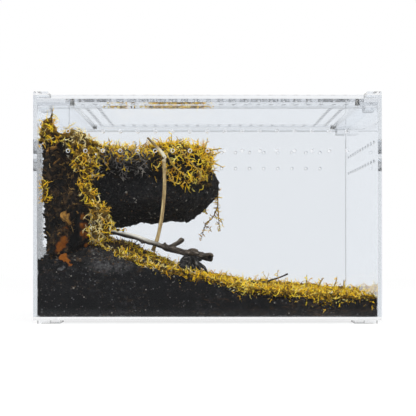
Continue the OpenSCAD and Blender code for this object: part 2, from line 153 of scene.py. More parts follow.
cycles = bpy.context.scene.cycles
cycles.max_bounces = cycles.transmission_bounces = 32
cycles.glossy_bounces = 12
world = bpy.data.worlds.new("studio")
bpy.context.scene.world = world
world.use_nodes = True
world.cycles.sampling_method = "NONE"
tree = world.node_tree
tree.nodes.clear()
path = put(tree, "ShaderNodeLightPath").outputs
facing = put(tree, "ShaderNodeSeparateXYZ", put(tree, "ShaderNodeTexCoord").outputs["Generated"])
gloss = span(tree, facing.outputs["Y"], -0.25, 0.3, DARK_FRONT, 1.0)
mirrored = mix(tree, math_node(tree, "GREATER_THAN", path["Glossy Depth"], ANY_BOUNCE), 1.0, gloss)
level = mix(tree, math_node(tree, "GREATER_THAN", path["Diffuse Depth"], ANY_BOUNCE), mirrored, AMBIENT)
surround = put(tree, "ShaderNodeBackground", Color=(1, 1, 1), Strength=level)
put(tree, "ShaderNodeOutputWorld", surround)

# Four softboxes: a key above and in front on the left, a fill on the right and one over the lid.
# The fourth stands over the camera, and the glass doesn't mirror it. All are turned to the case's middle.
MIDDLE = Vector((0, 0, 0.09))
for name, place, size, power in (
    ("key", (-0.55, -0.95, 0.95), 0.7, 9.0),
    ("fill", (0.9, -0.8, 0.55), 0.8, 5.0),
    ("top", (0.1, 0.15, 1.15), 0.8, 5.0),
    ("front", (0.15, -1.3, 0.30), 0.9, 11.0),
):
    lamp = stand(f"softbox_{name}", bpy.data.lights.new(name, "AREA"))
    lamp.data.size = size
    lamp.data.energy = power
    lamp.location = place
    lamp.rotation_euler = (MIDDLE - lamp.location).to_track_quat("-Z", "Y").to_euler()
    lamp.visible_transmission = False
    lamp.visible_glossy = name != "front"


# Acrylic sheet: base, walls, ledge, rim, corner blocks, tabs and feet, sawn from clear cast sheet and glued.
# Their faces are clear with a cool tint, and the sawn edges and drilled holes are a little grey and dull.
CLEAR_TINT = (0.937, 0.956, 0.979)
EDGE_TINT = (0.975, 0.98, 0.988)
ACRYLIC_IOR = 1.49


def surface(name):
    """A new material with its tree, its shader and its place on the piece."""
    mat = bpy.data.materials.new(name)
    mat.use_nodes = True
    tree = mat.node_tree
    return mat, tree, tree.nodes["Principled BSDF"], put(tree, "ShaderNodeTexCoord").outputs["Object"]


def cloud(tree, where, scale, detail, **more):
    """Noise with its lumps at a scale per metre."""
    return put(tree, "ShaderNodeTexNoise", Vector=where, Scale=scale, Detail=detail, **more)


def coat(tree, shader, colour, roughness, gloss=None, bump=()):
    """Gives a shader its colour, roughness and gloss, and a bump as (height, strength, distance)."""
    join(tree, colour, shader.inputs["Base Color"])
    join(tree, roughness, shader.inputs["Roughness"])
    if gloss is not None:
        shader.inputs["Specular IOR Level"].default_value = gloss
    if bump:
        height, strength, distance = bump
        raised = put(tree, "ShaderNodeBump", Height=height, Strength=strength, Distance=distance)
        join(tree, raised, shader.inputs["Normal"])


def clad(obj, mat):
    """Gives an object one material."""
    obj.data.materials.clear()
    obj.data.materials.append(mat)


def acrylic(name, thin_axis):
    """Clear sheet whose edges are the faces that don't face along its thin axis."""
    mat, tree, shader, where = surface(name)
    normal = put(tree, "ShaderNodeSeparateXYZ", put(tree, "ShaderNodeNewGeometry").outputs["True Normal"])
    edge = math_node(tree, "LESS_THAN", math_node(tree, "ABSOLUTE", normal.outputs[thin_axis]), 0.9)
    saw_marks = span(tree, cloud(tree, where, 900.0, 3.0), 0.3, 0.7, 0.02, 0.1)
    smears = span(tree, cloud(tree, where, 14.0, 4.0), 0.55, 0.9, 0.0, 0.04)
    coat(tree, shader, mix(tree, edge, CLEAR_TINT, EDGE_TINT), mix(tree, edge, smears, saw_marks))
    shader.inputs["IOR"].default_value = ACRYLIC_IOR
    shader.inputs["Transmission Weight"].default_value = 1
    lamp_ray = put(tree, "ShaderNodeLightPath").outputs["Is Shadow Ray"]
    through = put(tree, "ShaderNodeBsdfTransparent", Color=CLEAR_TINT)
    glass = put(tree, "ShaderNodeMixShader", lamp_ray, shader, through)
    join(tree, glass, tree.nodes["Material Output"].inputs["Surface"])
    return mat


WELD, AIR = 0.001, 0.03


def dress(nodes, mat):
    """Gives CAD sheets their acrylic, and a hair of air between two that touch, so that both show edges."""
    for name in nodes:
        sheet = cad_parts[name]
        clad(sheet, mat)
        sheet.modifiers.new("weld", "WELD").merge_threshold = WELD * MM
        trim = sheet.modifiers.new("trim", "DISPLACE")
        trim.mid_level = 0
        trim.strength = -AIR * MM


CORNERS = ("front_left", "front_right", "back_left", "back_right")
SIDES = ("front", "back", "left", "right")
dress(("front_panel", "back_panel"), acrylic("acrylic_long_walls", "Y"))
dress(("left_panel", "right_panel"), acrylic("acrylic_end_walls", "X"))
flat_sheet = acrylic("acrylic_flat_sheet", "Z")
dress(["base_panel"] + [f"{part}_{side}" for part in ("ledge", "rim") for side in SIDES], flat_sheet)
for part in ("corner_block", "stacking_tab", "foot"):
    dress([f"{part}_{corner}" for corner in CORNERS], flat_sheet)

# The lid: one sheet drilled with two rings of holes, laid on the ledge inside the rim.
# It is the same clear acrylic, and it lifts off.
dress(["lid_panel"], acrylic("acrylic_lid", "Z"))

# The magnets: small nickel-plated discs pressed into the ledge and the lid, one pair in each corner.
# Their plating is dull, with a little tarnish.
nickel, tree, shader, where = surface("nickel_plating")
tarnish = cloud(tree, where, 700.0, 4.0)
plating = mix(tree, tarnish, (0.62, 0.59, 0.54), (0.34, 0.31, 0.27))
coat(tree, shader, plating, span(tree, tarnish, 0.3, 0.7, 0.35, 0.6))
shader.inputs["Metallic"].default_value = 1
for corner in CORNERS:
    for part in ("ledge_magnet", "lid_magnet"):
        clad(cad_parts[f"{part}_{corner}"], nickel)


# The vents: rows of holes cut through the walls by laser, which leaves a round, frosted bead at both mouths.
# Geometry Nodes set one bead on each mouth.
def new_group(name, inputs, output):
    """A new node group with its inputs, named and each of a kind of socket, and what they give."""
    group = bpy.data.node_groups.new(name, "GeometryNodeTree")
    for label, kind in inputs.items():
        group.interface.new_socket(label, in_out="INPUT", socket_type=f"NodeSocket{kind}")
    group.interface.new_socket(output, in_out="OUTPUT", socket_type="NodeSocketGeometry")
    return group, put(group, "NodeGroupInput").outputs


def finish_group(group, placed, finish):
    """Has a node group give what it placed as a real mesh with its finish."""
    real = put(group, "GeometryNodeRealizeInstances", placed)
    put(group, "NodeGroupOutput", put(group, "GeometryNodeSetMaterial", Geometry=real, Material=finish))


def bead_tree():
    """A node group that sets a ring, lying along X and Z and turned about Z, on every point."""
    group, given = new_group("vent_beads", {
        "Mouths": "Geometry", "Finish": "Material", "Ring radius": "Float", "Bead radius": "Float",
        "Turn": "Float",
    }, "Beads")
    circle = put(group, "GeometryNodeMeshCircle", Vertices=24, Radius=given["Ring radius"])
    ring = put(group, "GeometryNodeMeshToCurve", circle)
    bead = put(group, "GeometryNodeCurvePrimitiveCircle", Resolution=6, Radius=given["Bead radius"])
    swept = put(group, "GeometryNodeCurveToMesh", ring, bead)
    turned = put(group, "ShaderNodeCombineXYZ", math.radians(90), 0.0, given["Turn"])
    placed = put(group, "GeometryNodeInstanceOnPoints", given["Mouths"], Instance=swept, Rotation=turned)
    finish_group(group, placed, given["Finish"])
    return group


def settle(obj):
    """Applies what a piece's modifiers make to its mesh, and leaves no modifier on it."""
    view = bpy.context.evaluated_depsgraph_get()
    shown = obj.evaluated_get(view)
    made = bpy.data.meshes.new_from_object(shown, preserve_all_data_layers=True, depsgraph=view)
    obj.modifiers.clear()
    obj.data = made
    made.name = obj.name


def grow_on(obj, group, settings):
    """Makes what a node group gives for its named inputs a piece's own mesh."""
    maker = obj.modifiers.new(group.name, "NODES")
    maker.node_group = group
    for item in group.interface.items_tree:
        if item.name in settings:
            maker[item.identifier] = settings[item.name]
    settle(obj)


def set_in_case(obj):
    """Shades a finished piece smooth and has it ride on the case."""
    obj.data.polygons.foreach_set("use_smooth", [True] * len(obj.data.polygons))
    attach(obj, "enclosure")


frosted, tree, shader, where = surface("frosted_acrylic")
bubbles = cloud(tree, where, 2600.0, 2.0)
frost = mix(tree, bubbles, (0.30, 0.31, 0.33), (0.62, 0.64, 0.67))
coat(tree, shader, frost, span(tree, bubbles, 0.3, 0.7, 0.15, 0.5))
shader.inputs["IOR"].default_value = ACRYLIC_IOR

VENT_R, BEAD_R, VENT_PITCH, SHEET = 1.75, 0.22, 15, 3
LONG_ROWS, END_ROWS = (166, 149), (159, 142)
BEADS = bead_tree()
for side, count, at, rows in (
    ("front", 17, -100, LONG_ROWS),
    ("back", 17, 97, LONG_ROWS),
    ("left", 11, -150, END_ROWS),
    ("right", 11, 147, END_ROWS),
):
    long_wall = rows == LONG_ROWS
    mouths = []
    for i in range(count):
        for z in rows:
            for depth in (at + BEAD_R, at + SHEET - BEAD_R):
                along = (i - (count - 1) / 2) * VENT_PITCH
                mouths.append(Vector((along, depth, z) if long_wall else (depth, along, z)) * MM)
    name = f"{side}_vent_beads"
    beads = stand(name, new_mesh(name, mouths))
    grow_on(beads, BEADS, {
        "Finish": frosted, "Ring radius": (VENT_R - BEAD_R) * MM, "Bead radius": BEAD_R * MM,
        "Turn": 0.0 if long_wall else math.radians(90),
    })
    set_in_case(beads)


# The ground: damp black substrate, banked up to the left behind the glass and pressed flat against the walls.
# Its top is crumbly, and where it meets the acrylic it shows pits, pale grains and brown fibre.
def write_back(made, mesh):
    """Puts an edited shape into a mesh."""
    made.to_mesh(mesh)
    made.free()
    return mesh


def even_copy(node, name, cell):
    """A CAD solid's shape as a new object with small even faces, to be roughened."""
    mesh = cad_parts[node].data.copy()
    welded = bmesh.new()
    welded.from_mesh(mesh)
    bmesh.ops.remove_doubles(welded, verts=welded.verts, dist=WELD * MM)
    obj = stand(name, write_back(welded, mesh))
    skin(obj, cell)
    return obj


def skin(obj, cell):
    """Gives a shape one closed skin of small even faces."""
    remesh = obj.modifiers.new("cells", "REMESH")
    remesh.mode = "VOXEL"
    remesh.voxel_size = cell
    settle(obj)


INSIDE = Vector((-147, -97, 6))
WALLS_LOW = INSIDE * MM
WALLS_HIGH = Vector((147, 97, 188)) * MM
END_GAP, FLOOR_GAP, WALL_GAP = 0.4, 0.3, 0.9


def press_to_glass(obj, gap):
    """Flattens what a piece has beyond the inside of the walls, floor and ledge, less a gap."""
    low = WALLS_LOW + Vector((END_GAP, gap, FLOOR_GAP)) * MM
    high = WALLS_HIGH - Vector((END_GAP, gap, gap)) * MM
    pressed = []
    for vertex in obj.data.vertices:
        pressed.extend(min(max(p, a), b) for p, a, b in zip(vertex.co, low, high))
    obj.data.vertices.foreach_set("co", pressed)
    obj.data.update()


def push(obj, rule, gap=WALL_GAP):
    """Moves each point of a piece by what a rule gives in millimetres, as far as the glass lets it."""
    moved = []
    for vertex in obj.data.vertices:
        moved.extend(vertex.co + rule(vertex) * MM)
    obj.data.vertices.foreach_set("co", moved)
    press_to_glass(obj, gap)


def lumps(place, size, stretch=(1, 1, 1)):
    """Smooth noise from -1 to 1 with lumps of a size in millimetres."""
    return noise.noise(Vector([a * b / (size * MM) for a, b in zip(place, stretch)]) + Vector((size, 7, 3)))


def roughen(obj, *layers, gap=WALL_GAP):
    """Moves a surface in and out by layers of noise, each (lump size, depth) and perhaps a stretch."""
    push(obj, lambda point: point.normal * sum(
        deep * lumps(point.co, size, *stretch) for size, deep, *stretch in layers), gap)


FILM_WIDTH = 36
LENS_STEP = FILM_WIDTH / camera.data.lens / PICTURE
AIM_X, AIM_Y = PICTURE / 2 - SHIFT_X, PICTURE / 2 + SHIFT_Y


def seen(x, y, depth):
    """The place in millimetres that the picture shows at column x and row y, at a depth along Y."""
    reach = (depth + EYE_BACK) * LENS_STEP
    return Vector((reach * (x - AIM_X), depth, EYE_HIGH + reach * (AIM_Y - y)))


def seen_x(x, depth):
    """How far to the right, in metres, the picture's column x is at a depth."""
    return seen(x, 0, depth).x * MM


def seen_z(y, depth):
    """How high up, in metres, the picture's row y is at a depth."""
    return seen(0, y, depth).z * MM


def near(place, spot, wide, high):
    """1 at the middle of an upright oval spot seen from the front, 0 at its rim and negative outside."""
    return 1 - math.hypot((place.x / MM - spot.x) / wide, (place.z / MM - spot.z) / high)


def unit(value):
    """A value kept from 0 to 1."""
    return max(0, min(1, value))


def between(value, *points):
    """Reads a line through (value, result) points."""
    for (a, first), (b, second) in zip(points, points[1:]):
        if value < b:
            return first + (second - first) * max(0, (value - a) / (b - a))
    return points[-1][1]


def mark(tree, name):
    """Reads a piece's own attribute in a material."""
    return put(tree, "ShaderNodeAttribute", attribute_name=name).outputs["Fac"]


def ramp(tree, share, *stops):
    """Colours along a share from 0 to 1, each stop being (place, colour)."""
    node = put(tree, "ShaderNodeValToRGB", share)
    while len(node.color_ramp.elements) < len(stops):
        node.color_ramp.elements.new(1)
    for element, (place, colour) in zip(node.color_ramp.elements, stops):
        element.position = place
        element.color = (*colour, 1)
    return node.outputs["Color"]


def paint_mark(mesh, name, rule):
    """Stores a number from 0 to 1 on each vertex, by a rule of its place and normal."""
    layer = mesh.attributes.get(name) or mesh.attributes.new(name, "FLOAT", "POINT")
    layer.data.foreach_set("value", [float(rule(v.co, v.normal)) for v in mesh.vertices])


def fit(obj, node, mat):
    """Finishes a piece of the planting, which stands for a CAD solid where one is named."""
    clad(obj, mat)
    if node:
        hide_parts(node)
    set_in_case(obj)


soil, tree, shader, where = surface("damp_substrate")
clods = cloud(tree, where, 260.0, 6.0, Roughness=0.65)
patches = cloud(tree, where, 34.0, 5.0, Roughness=0.6)
sideways = put(tree, "ShaderNodeMapping", where, Scale=(120, 120, 420))
fibre = cloud(tree, sideways, 1.0, 4.0, Distortion=1.5)
right_end = span(tree, put(tree, "ShaderNodeSeparateXYZ", where).outputs["X"], 0.0, 0.13, 0.0, 0.16)
brownness = span(tree, math_node(tree, "ADD", fibre, right_end), 0.58, 0.78)
peat = mix(tree, brownness, (0.0055, 0.0055, 0.0058), (0.045, 0.024, 0.010))
dusty = mix(tree, span(tree, clods, 0.52, 0.75), peat, (0.038, 0.036, 0.036))
damp = mix(tree, span(tree, patches, 0.40, 0.60), (0.0045, 0.0045, 0.0048), dusty)
for scale, size, bare_share, tint in (
    (260.0, 0.16, 0.55, (0.085, 0.083, 0.082)),
    (170.0, 0.10, 0.78, (0.20, 0.18, 0.15)),
    (420.0, 0.22, 0.60, (0.055, 0.044, 0.036)),
):
    grains = put(tree, "ShaderNodeTexVoronoi", Vector=where, Scale=scale)
    chosen = put(tree, "ShaderNodeSeparateColor", grains.outputs["Color"]).outputs["Red"]
    grain = math_node(tree, "LESS_THAN", grains.outputs["Distance"], size)
    shown = math_node(tree, "MULTIPLY", grain, math_node(tree, "GREATER_THAN", chosen, bare_share))
    damp = mix(tree, shown, damp, tint)
dust = span(tree, cloud(tree, where, 330.0, 5.0, Roughness=0.7), 0.38, 0.66)
damp = mix(tree, math_node(tree, "MULTIPLY", mark(tree, "ash"), dust), damp, (0.10, 0.095, 0.092))
# The hollow mark is painted near-black as painted shade, in the column's hollow and in a pit at the glass.
HOLLOW_PAINTED_SHADE = (0.006, 0.006, 0.006)
damp = mix(tree, mark(tree, "hollow"), damp, HOLLOW_PAINTED_SHADE)
coat(tree, shader, damp, span(tree, patches, 0.3, 0.7, 0.55, 0.95), 0.12, (clods, 0.8, 0.001))

ground = even_copy("soil_bed", "substrate", 1.7 * MM)
SETTLED = ((-0.147, -4.0), (-0.12, -3.5), (-0.10, 0.0), (0.0, 0.0), (0.05, -2.5), (0.147, -3.0))
push(ground, lambda point: Vector((0, 0, between(point.co.x, *SETTLED))) * (point.normal.z > 0.3))
roughen(ground, (9, 2.0), (2.6, 1.5))
ASHEN = ((seen(112, 262, -80), 26, 11, 1.5), (seen(98, 250, -80), 11, 6, 2.0), (seen(62, 269, -96), 4, 4, 0))
paint_mark(ground.data, "ash", lambda place, normal: unit(
    max(pale * near(place, spot, wide, high) for spot, wide, high, pale in ASHEN)))
# A pit in the ground at the front glass, painted black as painted shade.
PIT = (seen(78, 256, -96), 9, 12)
paint_mark(ground.data, "hollow", lambda place, normal: unit(3 * near(place, *PIT)))
fit(ground, "soil_bed", soil)


# Crumbs of substrate and bark that lie loose on the bare slope in front of the bank.
# A few are pale. They are scattered by Geometry Nodes, which also grow the moss further down.
def scatter_tree():
    """A node group that sets small shapes on a surface, turned and leant at random."""
    group, given = new_group("scatter", {
        "Surface": "Geometry", "Shapes": "Collection", "Finish": "Material", "Spacing": "Float",
        "Density": "Float", "Smallest": "Float", "Largest": "Float", "Least lean": "Float",
        "Most lean": "Float", "Pull": "Vector", "Seed": "Int",
    }, "Scatter")
    cover = put(group, "GeometryNodeInputNamedAttribute", data_type="FLOAT", Name="cover")
    spread = put(
        group, "GeometryNodeDistributePointsOnFaces", distribute_method="POISSON", Mesh=given["Surface"],
        Distance_Min=given["Spacing"], Density_Max=given["Density"], Seed=given["Seed"],
        Density_Factor=cover.outputs["Attribute"],
    )
    pulled = put(group, "ShaderNodeVectorMath", spread.outputs["Normal"], given["Pull"], operation="ADD")
    upright = put(group, "FunctionNodeAlignRotationToVector", Vector=pulled, axis="Z")

    def chance(low, high, step):
        """A random number of its own for each point."""
        draw = put(group, "FunctionNodeRandomValue", data_type="FLOAT")
        join(group, low, draw.inputs[2])
        join(group, high, draw.inputs[3])
        join(group, math_node(group, "ADD", given["Seed"], step), draw.inputs["Seed"])
        return draw.outputs[1]

    def turn(facing, *angles):
        """Turns each point further by angles about its own axes."""
        about = put(group, "FunctionNodeEulerToRotation", put(group, "ShaderNodeCombineXYZ", *angles))
        return put(group, "FunctionNodeRotateRotation", facing, about, rotation_space="LOCAL")

    lean = chance(given["Least lean"], given["Most lean"], 1.0)
    rolled = turn(turn(upright, lean, 0.0, chance(0.0, math.tau, 2.0)), 0.0, 0.0, chance(0.0, math.tau, 3.0))
    shapes = put(
        group, "GeometryNodeCollectionInfo", Collection=given["Shapes"], Separate_Children=True,
        Reset_Children=True,
    )
    size = chance(given["Smallest"], given["Largest"], 4.0)
    placed = put(
        group, "GeometryNodeInstanceOnPoints", spread, Instance=shapes, Pick_Instance=True, Rotation=rolled,
        Scale=size,
    )
    tone = put(
        group, "GeometryNodeStoreNamedAttribute", data_type="FLOAT", domain="INSTANCE", Geometry=placed,
        Name="tone", Value=chance(0.0, 1.0, 5.0),
    )
    finish_group(group, tone, given["Finish"])
    return group


SCATTER = scatter_tree()
LEAF_GAP = 0.3


def scatter(name, base, shapes, finish, seed, gap, sizes, lean, pull=(0, 0, 0)):
    """A new piece made of small shapes set over a surface as its cover mark says.

    gap is the least distance between two, sizes their least and greatest length in millimetres, lean how far
    they tip over in radians, and pull the way that they all bend.
    """
    bag = bpy.data.collections.new(f"{name}_shapes")
    helpers = [bpy.data.objects.new(mesh.name, mesh) for mesh in shapes]
    for helper in helpers:
        bag.objects.link(helper)
    obj = stand(name, base.copy())
    grow_on(obj, SCATTER, {
        "Shapes": bag, "Finish": finish, "Spacing": gap * MM, "Density": 1 / (gap * gap * MM * MM),
        "Smallest": sizes[0] * MM, "Largest": sizes[1] * MM, "Least lean": lean[0], "Most lean": lean[1],
        "Pull": pull, "Seed": seed,
    })
    press_to_glass(obj, LEAF_GAP)
    for helper in helpers:
        bpy.data.objects.remove(helper)
    bpy.data.collections.remove(bag)
    set_in_case(obj)


def crumb(name, seed, flat):
    """An irregular lump one unit across."""
    made = bmesh.new()
    bmesh.ops.create_icosphere(made, subdivisions=1, radius=0.5)
    for vertex in made.verts:
        vertex.co *= 1 + 0.5 * noise.noise(vertex.co * 2 + Vector((seed, 0, 0)))
        vertex.co.z *= flat
    return write_back(made, bpy.data.meshes.new(name))


CRUMBS = [crumb(f"crumb_{i}", i * 5.3, flat) for i, flat in enumerate((0.9, 0.5, 0.7, 0.35))]


def litter(name, brown_share, pale_share):
    """Loose crumbs, black but for a share of brown bark and of pale chips."""
    mat, tree, shader, where = surface(name)
    tone = mark(tree, "tone")
    grit = cloud(tree, where, 900.0, 3.0)
    black = mix(tree, grit, (0.004, 0.004, 0.004), (0.026, 0.024, 0.022))
    brown = mix(tree, grit, (0.03, 0.016, 0.008), (0.085, 0.05, 0.026))
    barky = mix(tree, math_node(tree, "GREATER_THAN", tone, 1 - brown_share), black, brown)
    pale = mix(tree, math_node(tree, "GREATER_THAN", tone, 1 - pale_share), barky, (0.20, 0.18, 0.15))
    coat(tree, shader, pale, 0.85, 0.2)
    return mat


paint_mark(ground.data, "cover", lambda place, normal: normal.z > 0.3 and place.y < -0.045 and place.x < 0.03)
slope_litter = litter("slope_litter", 0.3, 0.05)
scatter("substrate_crumbs", ground.data, CRUMBS, slope_litter, 11, 1.4, (0.8, 3.0), (0.0, 1.2))


# The bark column: a slab of old, dark bark that stands in the front left corner.
# It is fissured upright and flaking, and rotten orange-brown wood shows low down on both sides of a hollow.
COLUMN_FRONT = -78


def spots(*ovals):
    """Upright ovals on the column's front, from the picture's column and row and their half sizes."""
    return [(seen(x, y, COLUMN_FRONT), wide, high) for x, y, wide, high in ovals]


ROT = spots(
    (63.8, 239.5, 3.4, 4.4), (61.2, 245, 3.8, 4.4), (58.8, 249, 2.4, 3.2), (64.9, 228.4, 2.7, 2.4),
    (81.2, 217, 2.4, 3.0), (82, 225.5, 3.4, 3.4), (82.8, 234, 4.2, 3.8), (84.6, 246.5, 2.6, 3.0),
    (86.4, 259.5, 2.2, 4.0),
)
HOLLOW = spots((74.5, 218, 3.8, 14.0), (73.5, 240, 5.4, 17.0), (76.5, 255, 6.6, 12.0))


def rotten(place, normal):
    """1 on the rotten patches, with ragged edges."""
    ragged = 0.35 * lumps(place, 3.5) + 0.2 * lumps(place, 1.7)
    return unit(4 * (max(near(place, *patch) for patch in ROT) + ragged)) * (normal.y < 0.2)


def hollow(place, normal):
    """1 in the hollow that runs down the column's foot."""
    inner = max(near(place, *part) for part in HOLLOW) + 0.15 * lumps(place, 4)
    return unit(3 * inner) * (normal.y < 0.2)


UPRIGHT = (1, 1, 0.3)
column = even_copy("bark_column", "bark_slab", 1.15 * MM)
BULGE = [(seen_z(y, -80), out) for y, out in (
    (262, 0.0), (200, 0.1), (182, 0.25), (172, 1.0), (160, 1.1), (150, 1.5), (142, 1.6),
)]
LEFT_EDGE = [(seen_z(y, -80), seen(x, y, -79).x) for x, y in (
    (47.6, 262), (45.4, 235), (43.6, 200), (43.2, 180), (41.0, 173), (41.0, 142),
)]


def set_back(point):
    """The column juts forward at its top left, and behind its front it stands clear of the left wall."""
    left = between(point.co.x, (-0.147, 1.0), (-0.118, 0.0))
    bulge = between(point.co.z, *BULGE)
    front = between(point.co.y, (-0.058, 1.0), (-0.040, 0.0))
    lean = between(point.co.y, (-0.078, 0.0), (-0.010, 20.0))
    across = lean - max(0, -point.normal.x) * (4.6 + 1.6 * bulge) * front
    forward = (3 + 17 * bulge) * left * left * between(point.co.y, (-0.070, 1.0), (-0.050, 0.0))
    furthest = between(point.co.z, *LEFT_EDGE) - point.co.x / MM
    return Vector((max(left * across, furthest), -forward, 0))


push(column, set_back)
roughen(column, (13, 3.0, UPRIGHT), (4.5, 2.6, UPRIGHT), (1.8, 1.3, (1, 1, 0.5)))
paint_mark(column.data, "rot", rotten)
# The hollow is sunk into the bark and painted near-black as painted shade.
paint_mark(column.data, "hollow", lambda place, normal: hollow(place, normal) * (1 - rotten(place, normal)))
raised, sunk = ([layer.value for layer in column.data.attributes[name].data] for name in ("rot", "hollow"))
push(column, lambda point: point.normal * (0.6 * raised[point.index] - 4 * sunk[point.index]))
paint_mark(column.data, "cover", lambda place, normal: abs(normal.z) < 0.7 and place.x > -0.146
           and rotten(place, normal) < 0.1 and hollow(place, normal) < 0.1)


def old_bark(name, painted_lift):
    """Fissured bark, nearly black in its clefts and brown where it is worn: a random share of loose flakes is
    painted browner as painted light.
    """
    mat, tree, shader, where = surface(name)
    upright = put(tree, "ShaderNodeMapping", where, Scale=(330, 330, 75))
    grain = cloud(tree, upright, 1.0, 7.0, Roughness=0.72, Distortion=0.8)
    worn = cloud(tree, where, 110.0, 6.0, Roughness=0.65, Distortion=1.0)
    fine = cloud(tree, where, 900.0, 3.0)
    deep = mix(tree, span(tree, grain, 0.45, 0.72), (0.0040, 0.0038, 0.0036), (0.037, 0.021, 0.009))
    brown = mix(tree, span(tree, worn, 0.58, 0.72), deep, (0.125, 0.068, 0.026))
    black = mix(tree, span(tree, worn, 0.50, 0.40), brown, (0.0035, 0.0035, 0.0035))
    if painted_lift:
        # Painted light: a random share of the loose flakes is painted browner, as if lit.
        painted_lift_share = math_node(tree, "MULTIPLY", span(tree, mark(tree, "tone"), 0.55, 1.0), painted_lift)
        black = mix(tree, painted_lift_share, black, (0.075, 0.041, 0.016))
    soft = mix(tree, span(tree, worn, 0.35, 0.65), (0.15, 0.037, 0.002), (0.235, 0.070, 0.004))
    speckled = mix(tree, span(tree, fine, 0.55, 0.75), soft, (0.10, 0.027, 0.003))
    rot = mix(tree, mark(tree, "rot"), black, speckled)
    # Places in the hollow are painted near-black as painted shade.
    coat(tree, shader, mix(tree, mark(tree, "hollow"), rot, HOLLOW_PAINTED_SHADE), 0.85, 0.2, (grain, 0.9, 0.0014))
    return mat


dark_bark = old_bark("old_bark", 0)
fit(column, "bark_column", dark_bark)


# Rotten wood that has fallen out at the hollow's foot, and a grey chip under it.
# Both lie on the ground, pressed to the glass.
def clumps(name, blobs, cell):
    """A lumpy mass from round blobs, each (column, row, depth, radius), fused into one skin."""
    made = bmesh.new()
    for x, y, depth, radius in blobs:
        place = Matrix.Translation(seen(x, y, depth) * MM)
        bmesh.ops.create_icosphere(made, subdivisions=2, radius=radius * MM, matrix=place)
    obj = stand(name, write_back(made, bpy.data.meshes.new(name)))
    skin(obj, cell)
    return obj


for name, slot, finish, blobs in (
    ("rotten_wood", "bark", dark_bark, (
        (62.3, 257.2, -94.5, 2.8), (65.0, 255.9, -94.5, 2.6), (65.6, 259.6, -94.5, 2.8),
        (61.2, 259.0, -95, 1.8), (68.3, 262.2, -94.5, 2.5), (70.2, 264.4, -95, 2.2), (72.3, 263.6, -95, 1.4),
    )),
    ("grey_chip", "soil", soil, (
        (61.6, 268.6, -95.6, 2.0), (63.8, 267.2, -95.6, 1.9), (61.6, 270.4, -95.6, 1.2),
        (59.4, 269.4, -95.6, 1.1),
    )),
):
    chunk = clumps(name, blobs, 0.6 * MM)
    roughen(chunk, (3.5, 1.2), (1.6, 0.6), gap=0.5)
    for whole in ("rot", "ash"):
        paint_mark(chunk.data, whole, lambda place, normal: 1)
    fit(chunk, "", finish)


# Flakes of torn bark that stand off the column, in three curled shapes.
# They are the same old bark, with a random share of them painted browner as painted light, as if lifted into
# the light.
def flake(name, seed, curl, long):
    """A torn scale of bark, one unit across, curled about its length."""
    pick = random.Random(seed)
    rows, across = 5, 3
    points = []
    for side in (0.0, 0.09):
        for i in range(rows):
            for j in range(across):
                s = i / (rows - 1) - 0.5
                turn = curl * (j / (across - 1) - 0.5)
                ragged = 1 + 0.25 * pick.uniform(-1, 1) * (side == 0)
                high = side + 0.4 * (1 - math.cos(turn)) + 0.35 * s * s
                points.append(Vector((math.sin(turn) / curl, long * s * ragged, high)))
    faces = []
    layer = rows * across
    for i in range(rows - 1):
        for j in range(across - 1):
            a = i * across + j
            under = (a, a + across, a + across + 1, a + 1)
            faces += [under, tuple(layer + corner for corner in (under[0], under[3], under[2], under[1]))]
    rim = [i * across for i in range(rows)] + [(rows - 1) * across + j for j in range(1, across)]
    rim += [i * across + across - 1 for i in range(rows - 2, -1, -1)] + [j for j in range(across - 2, 0, -1)]
    faces += [(a, layer + a, layer + b, b) for a, b in zip(rim, rim[1:] + rim[:1])]
    return new_mesh(name, points, faces)


FLAKE_FORMS = ((1.4, 1.9), (2.0, 1.4), (1.0, 2.6))
FLAKES = [flake(f"bark_flake_{i}", i, curl, long) for i, (curl, long) in enumerate(FLAKE_FORMS)]
loose_bark = old_bark("loose_bark", 0.8)
scatter("bark_flakes", column.data, FLAKES, loose_bark, 21, 2.1, (1.3, 3.6), (0.3, 1.2), (0, 0, -0.3))


# The overhang: a block of the same dark ground, bound with root and set on the back wall.
# It is crumbly and nearly black, with pale grit in it and a ragged lower edge.
overhang = even_copy("overhang", "overhang_block", 1.5 * MM)
roughen(overhang, (16, 3.0), (5, 1.8), (2, 1.0))
paint_mark(overhang.data, "cover", lambda place, normal: (normal.z < 0.5) * (0.25 + 0.75 * (normal.y < -0.1)))
fit(overhang, "overhang", soil)
grit = litter("overhang_litter", 0.1, 0.035)
scatter("overhang_grit", overhang.data, CRUMBS, grit, 31, 1.8, (0.8, 2.8), (0.0, 1.0))


# Moss: dried sheets of it, gold to olive, whose fronds are curled stems with short side leaves.
# Each sheet is a dark felted mat with fronds growing out of it, thicker and paler towards the light.
def aside(way):
    """A direction square to a way."""
    return way.cross(Vector((0.3, 1, 0.1))).normalized()


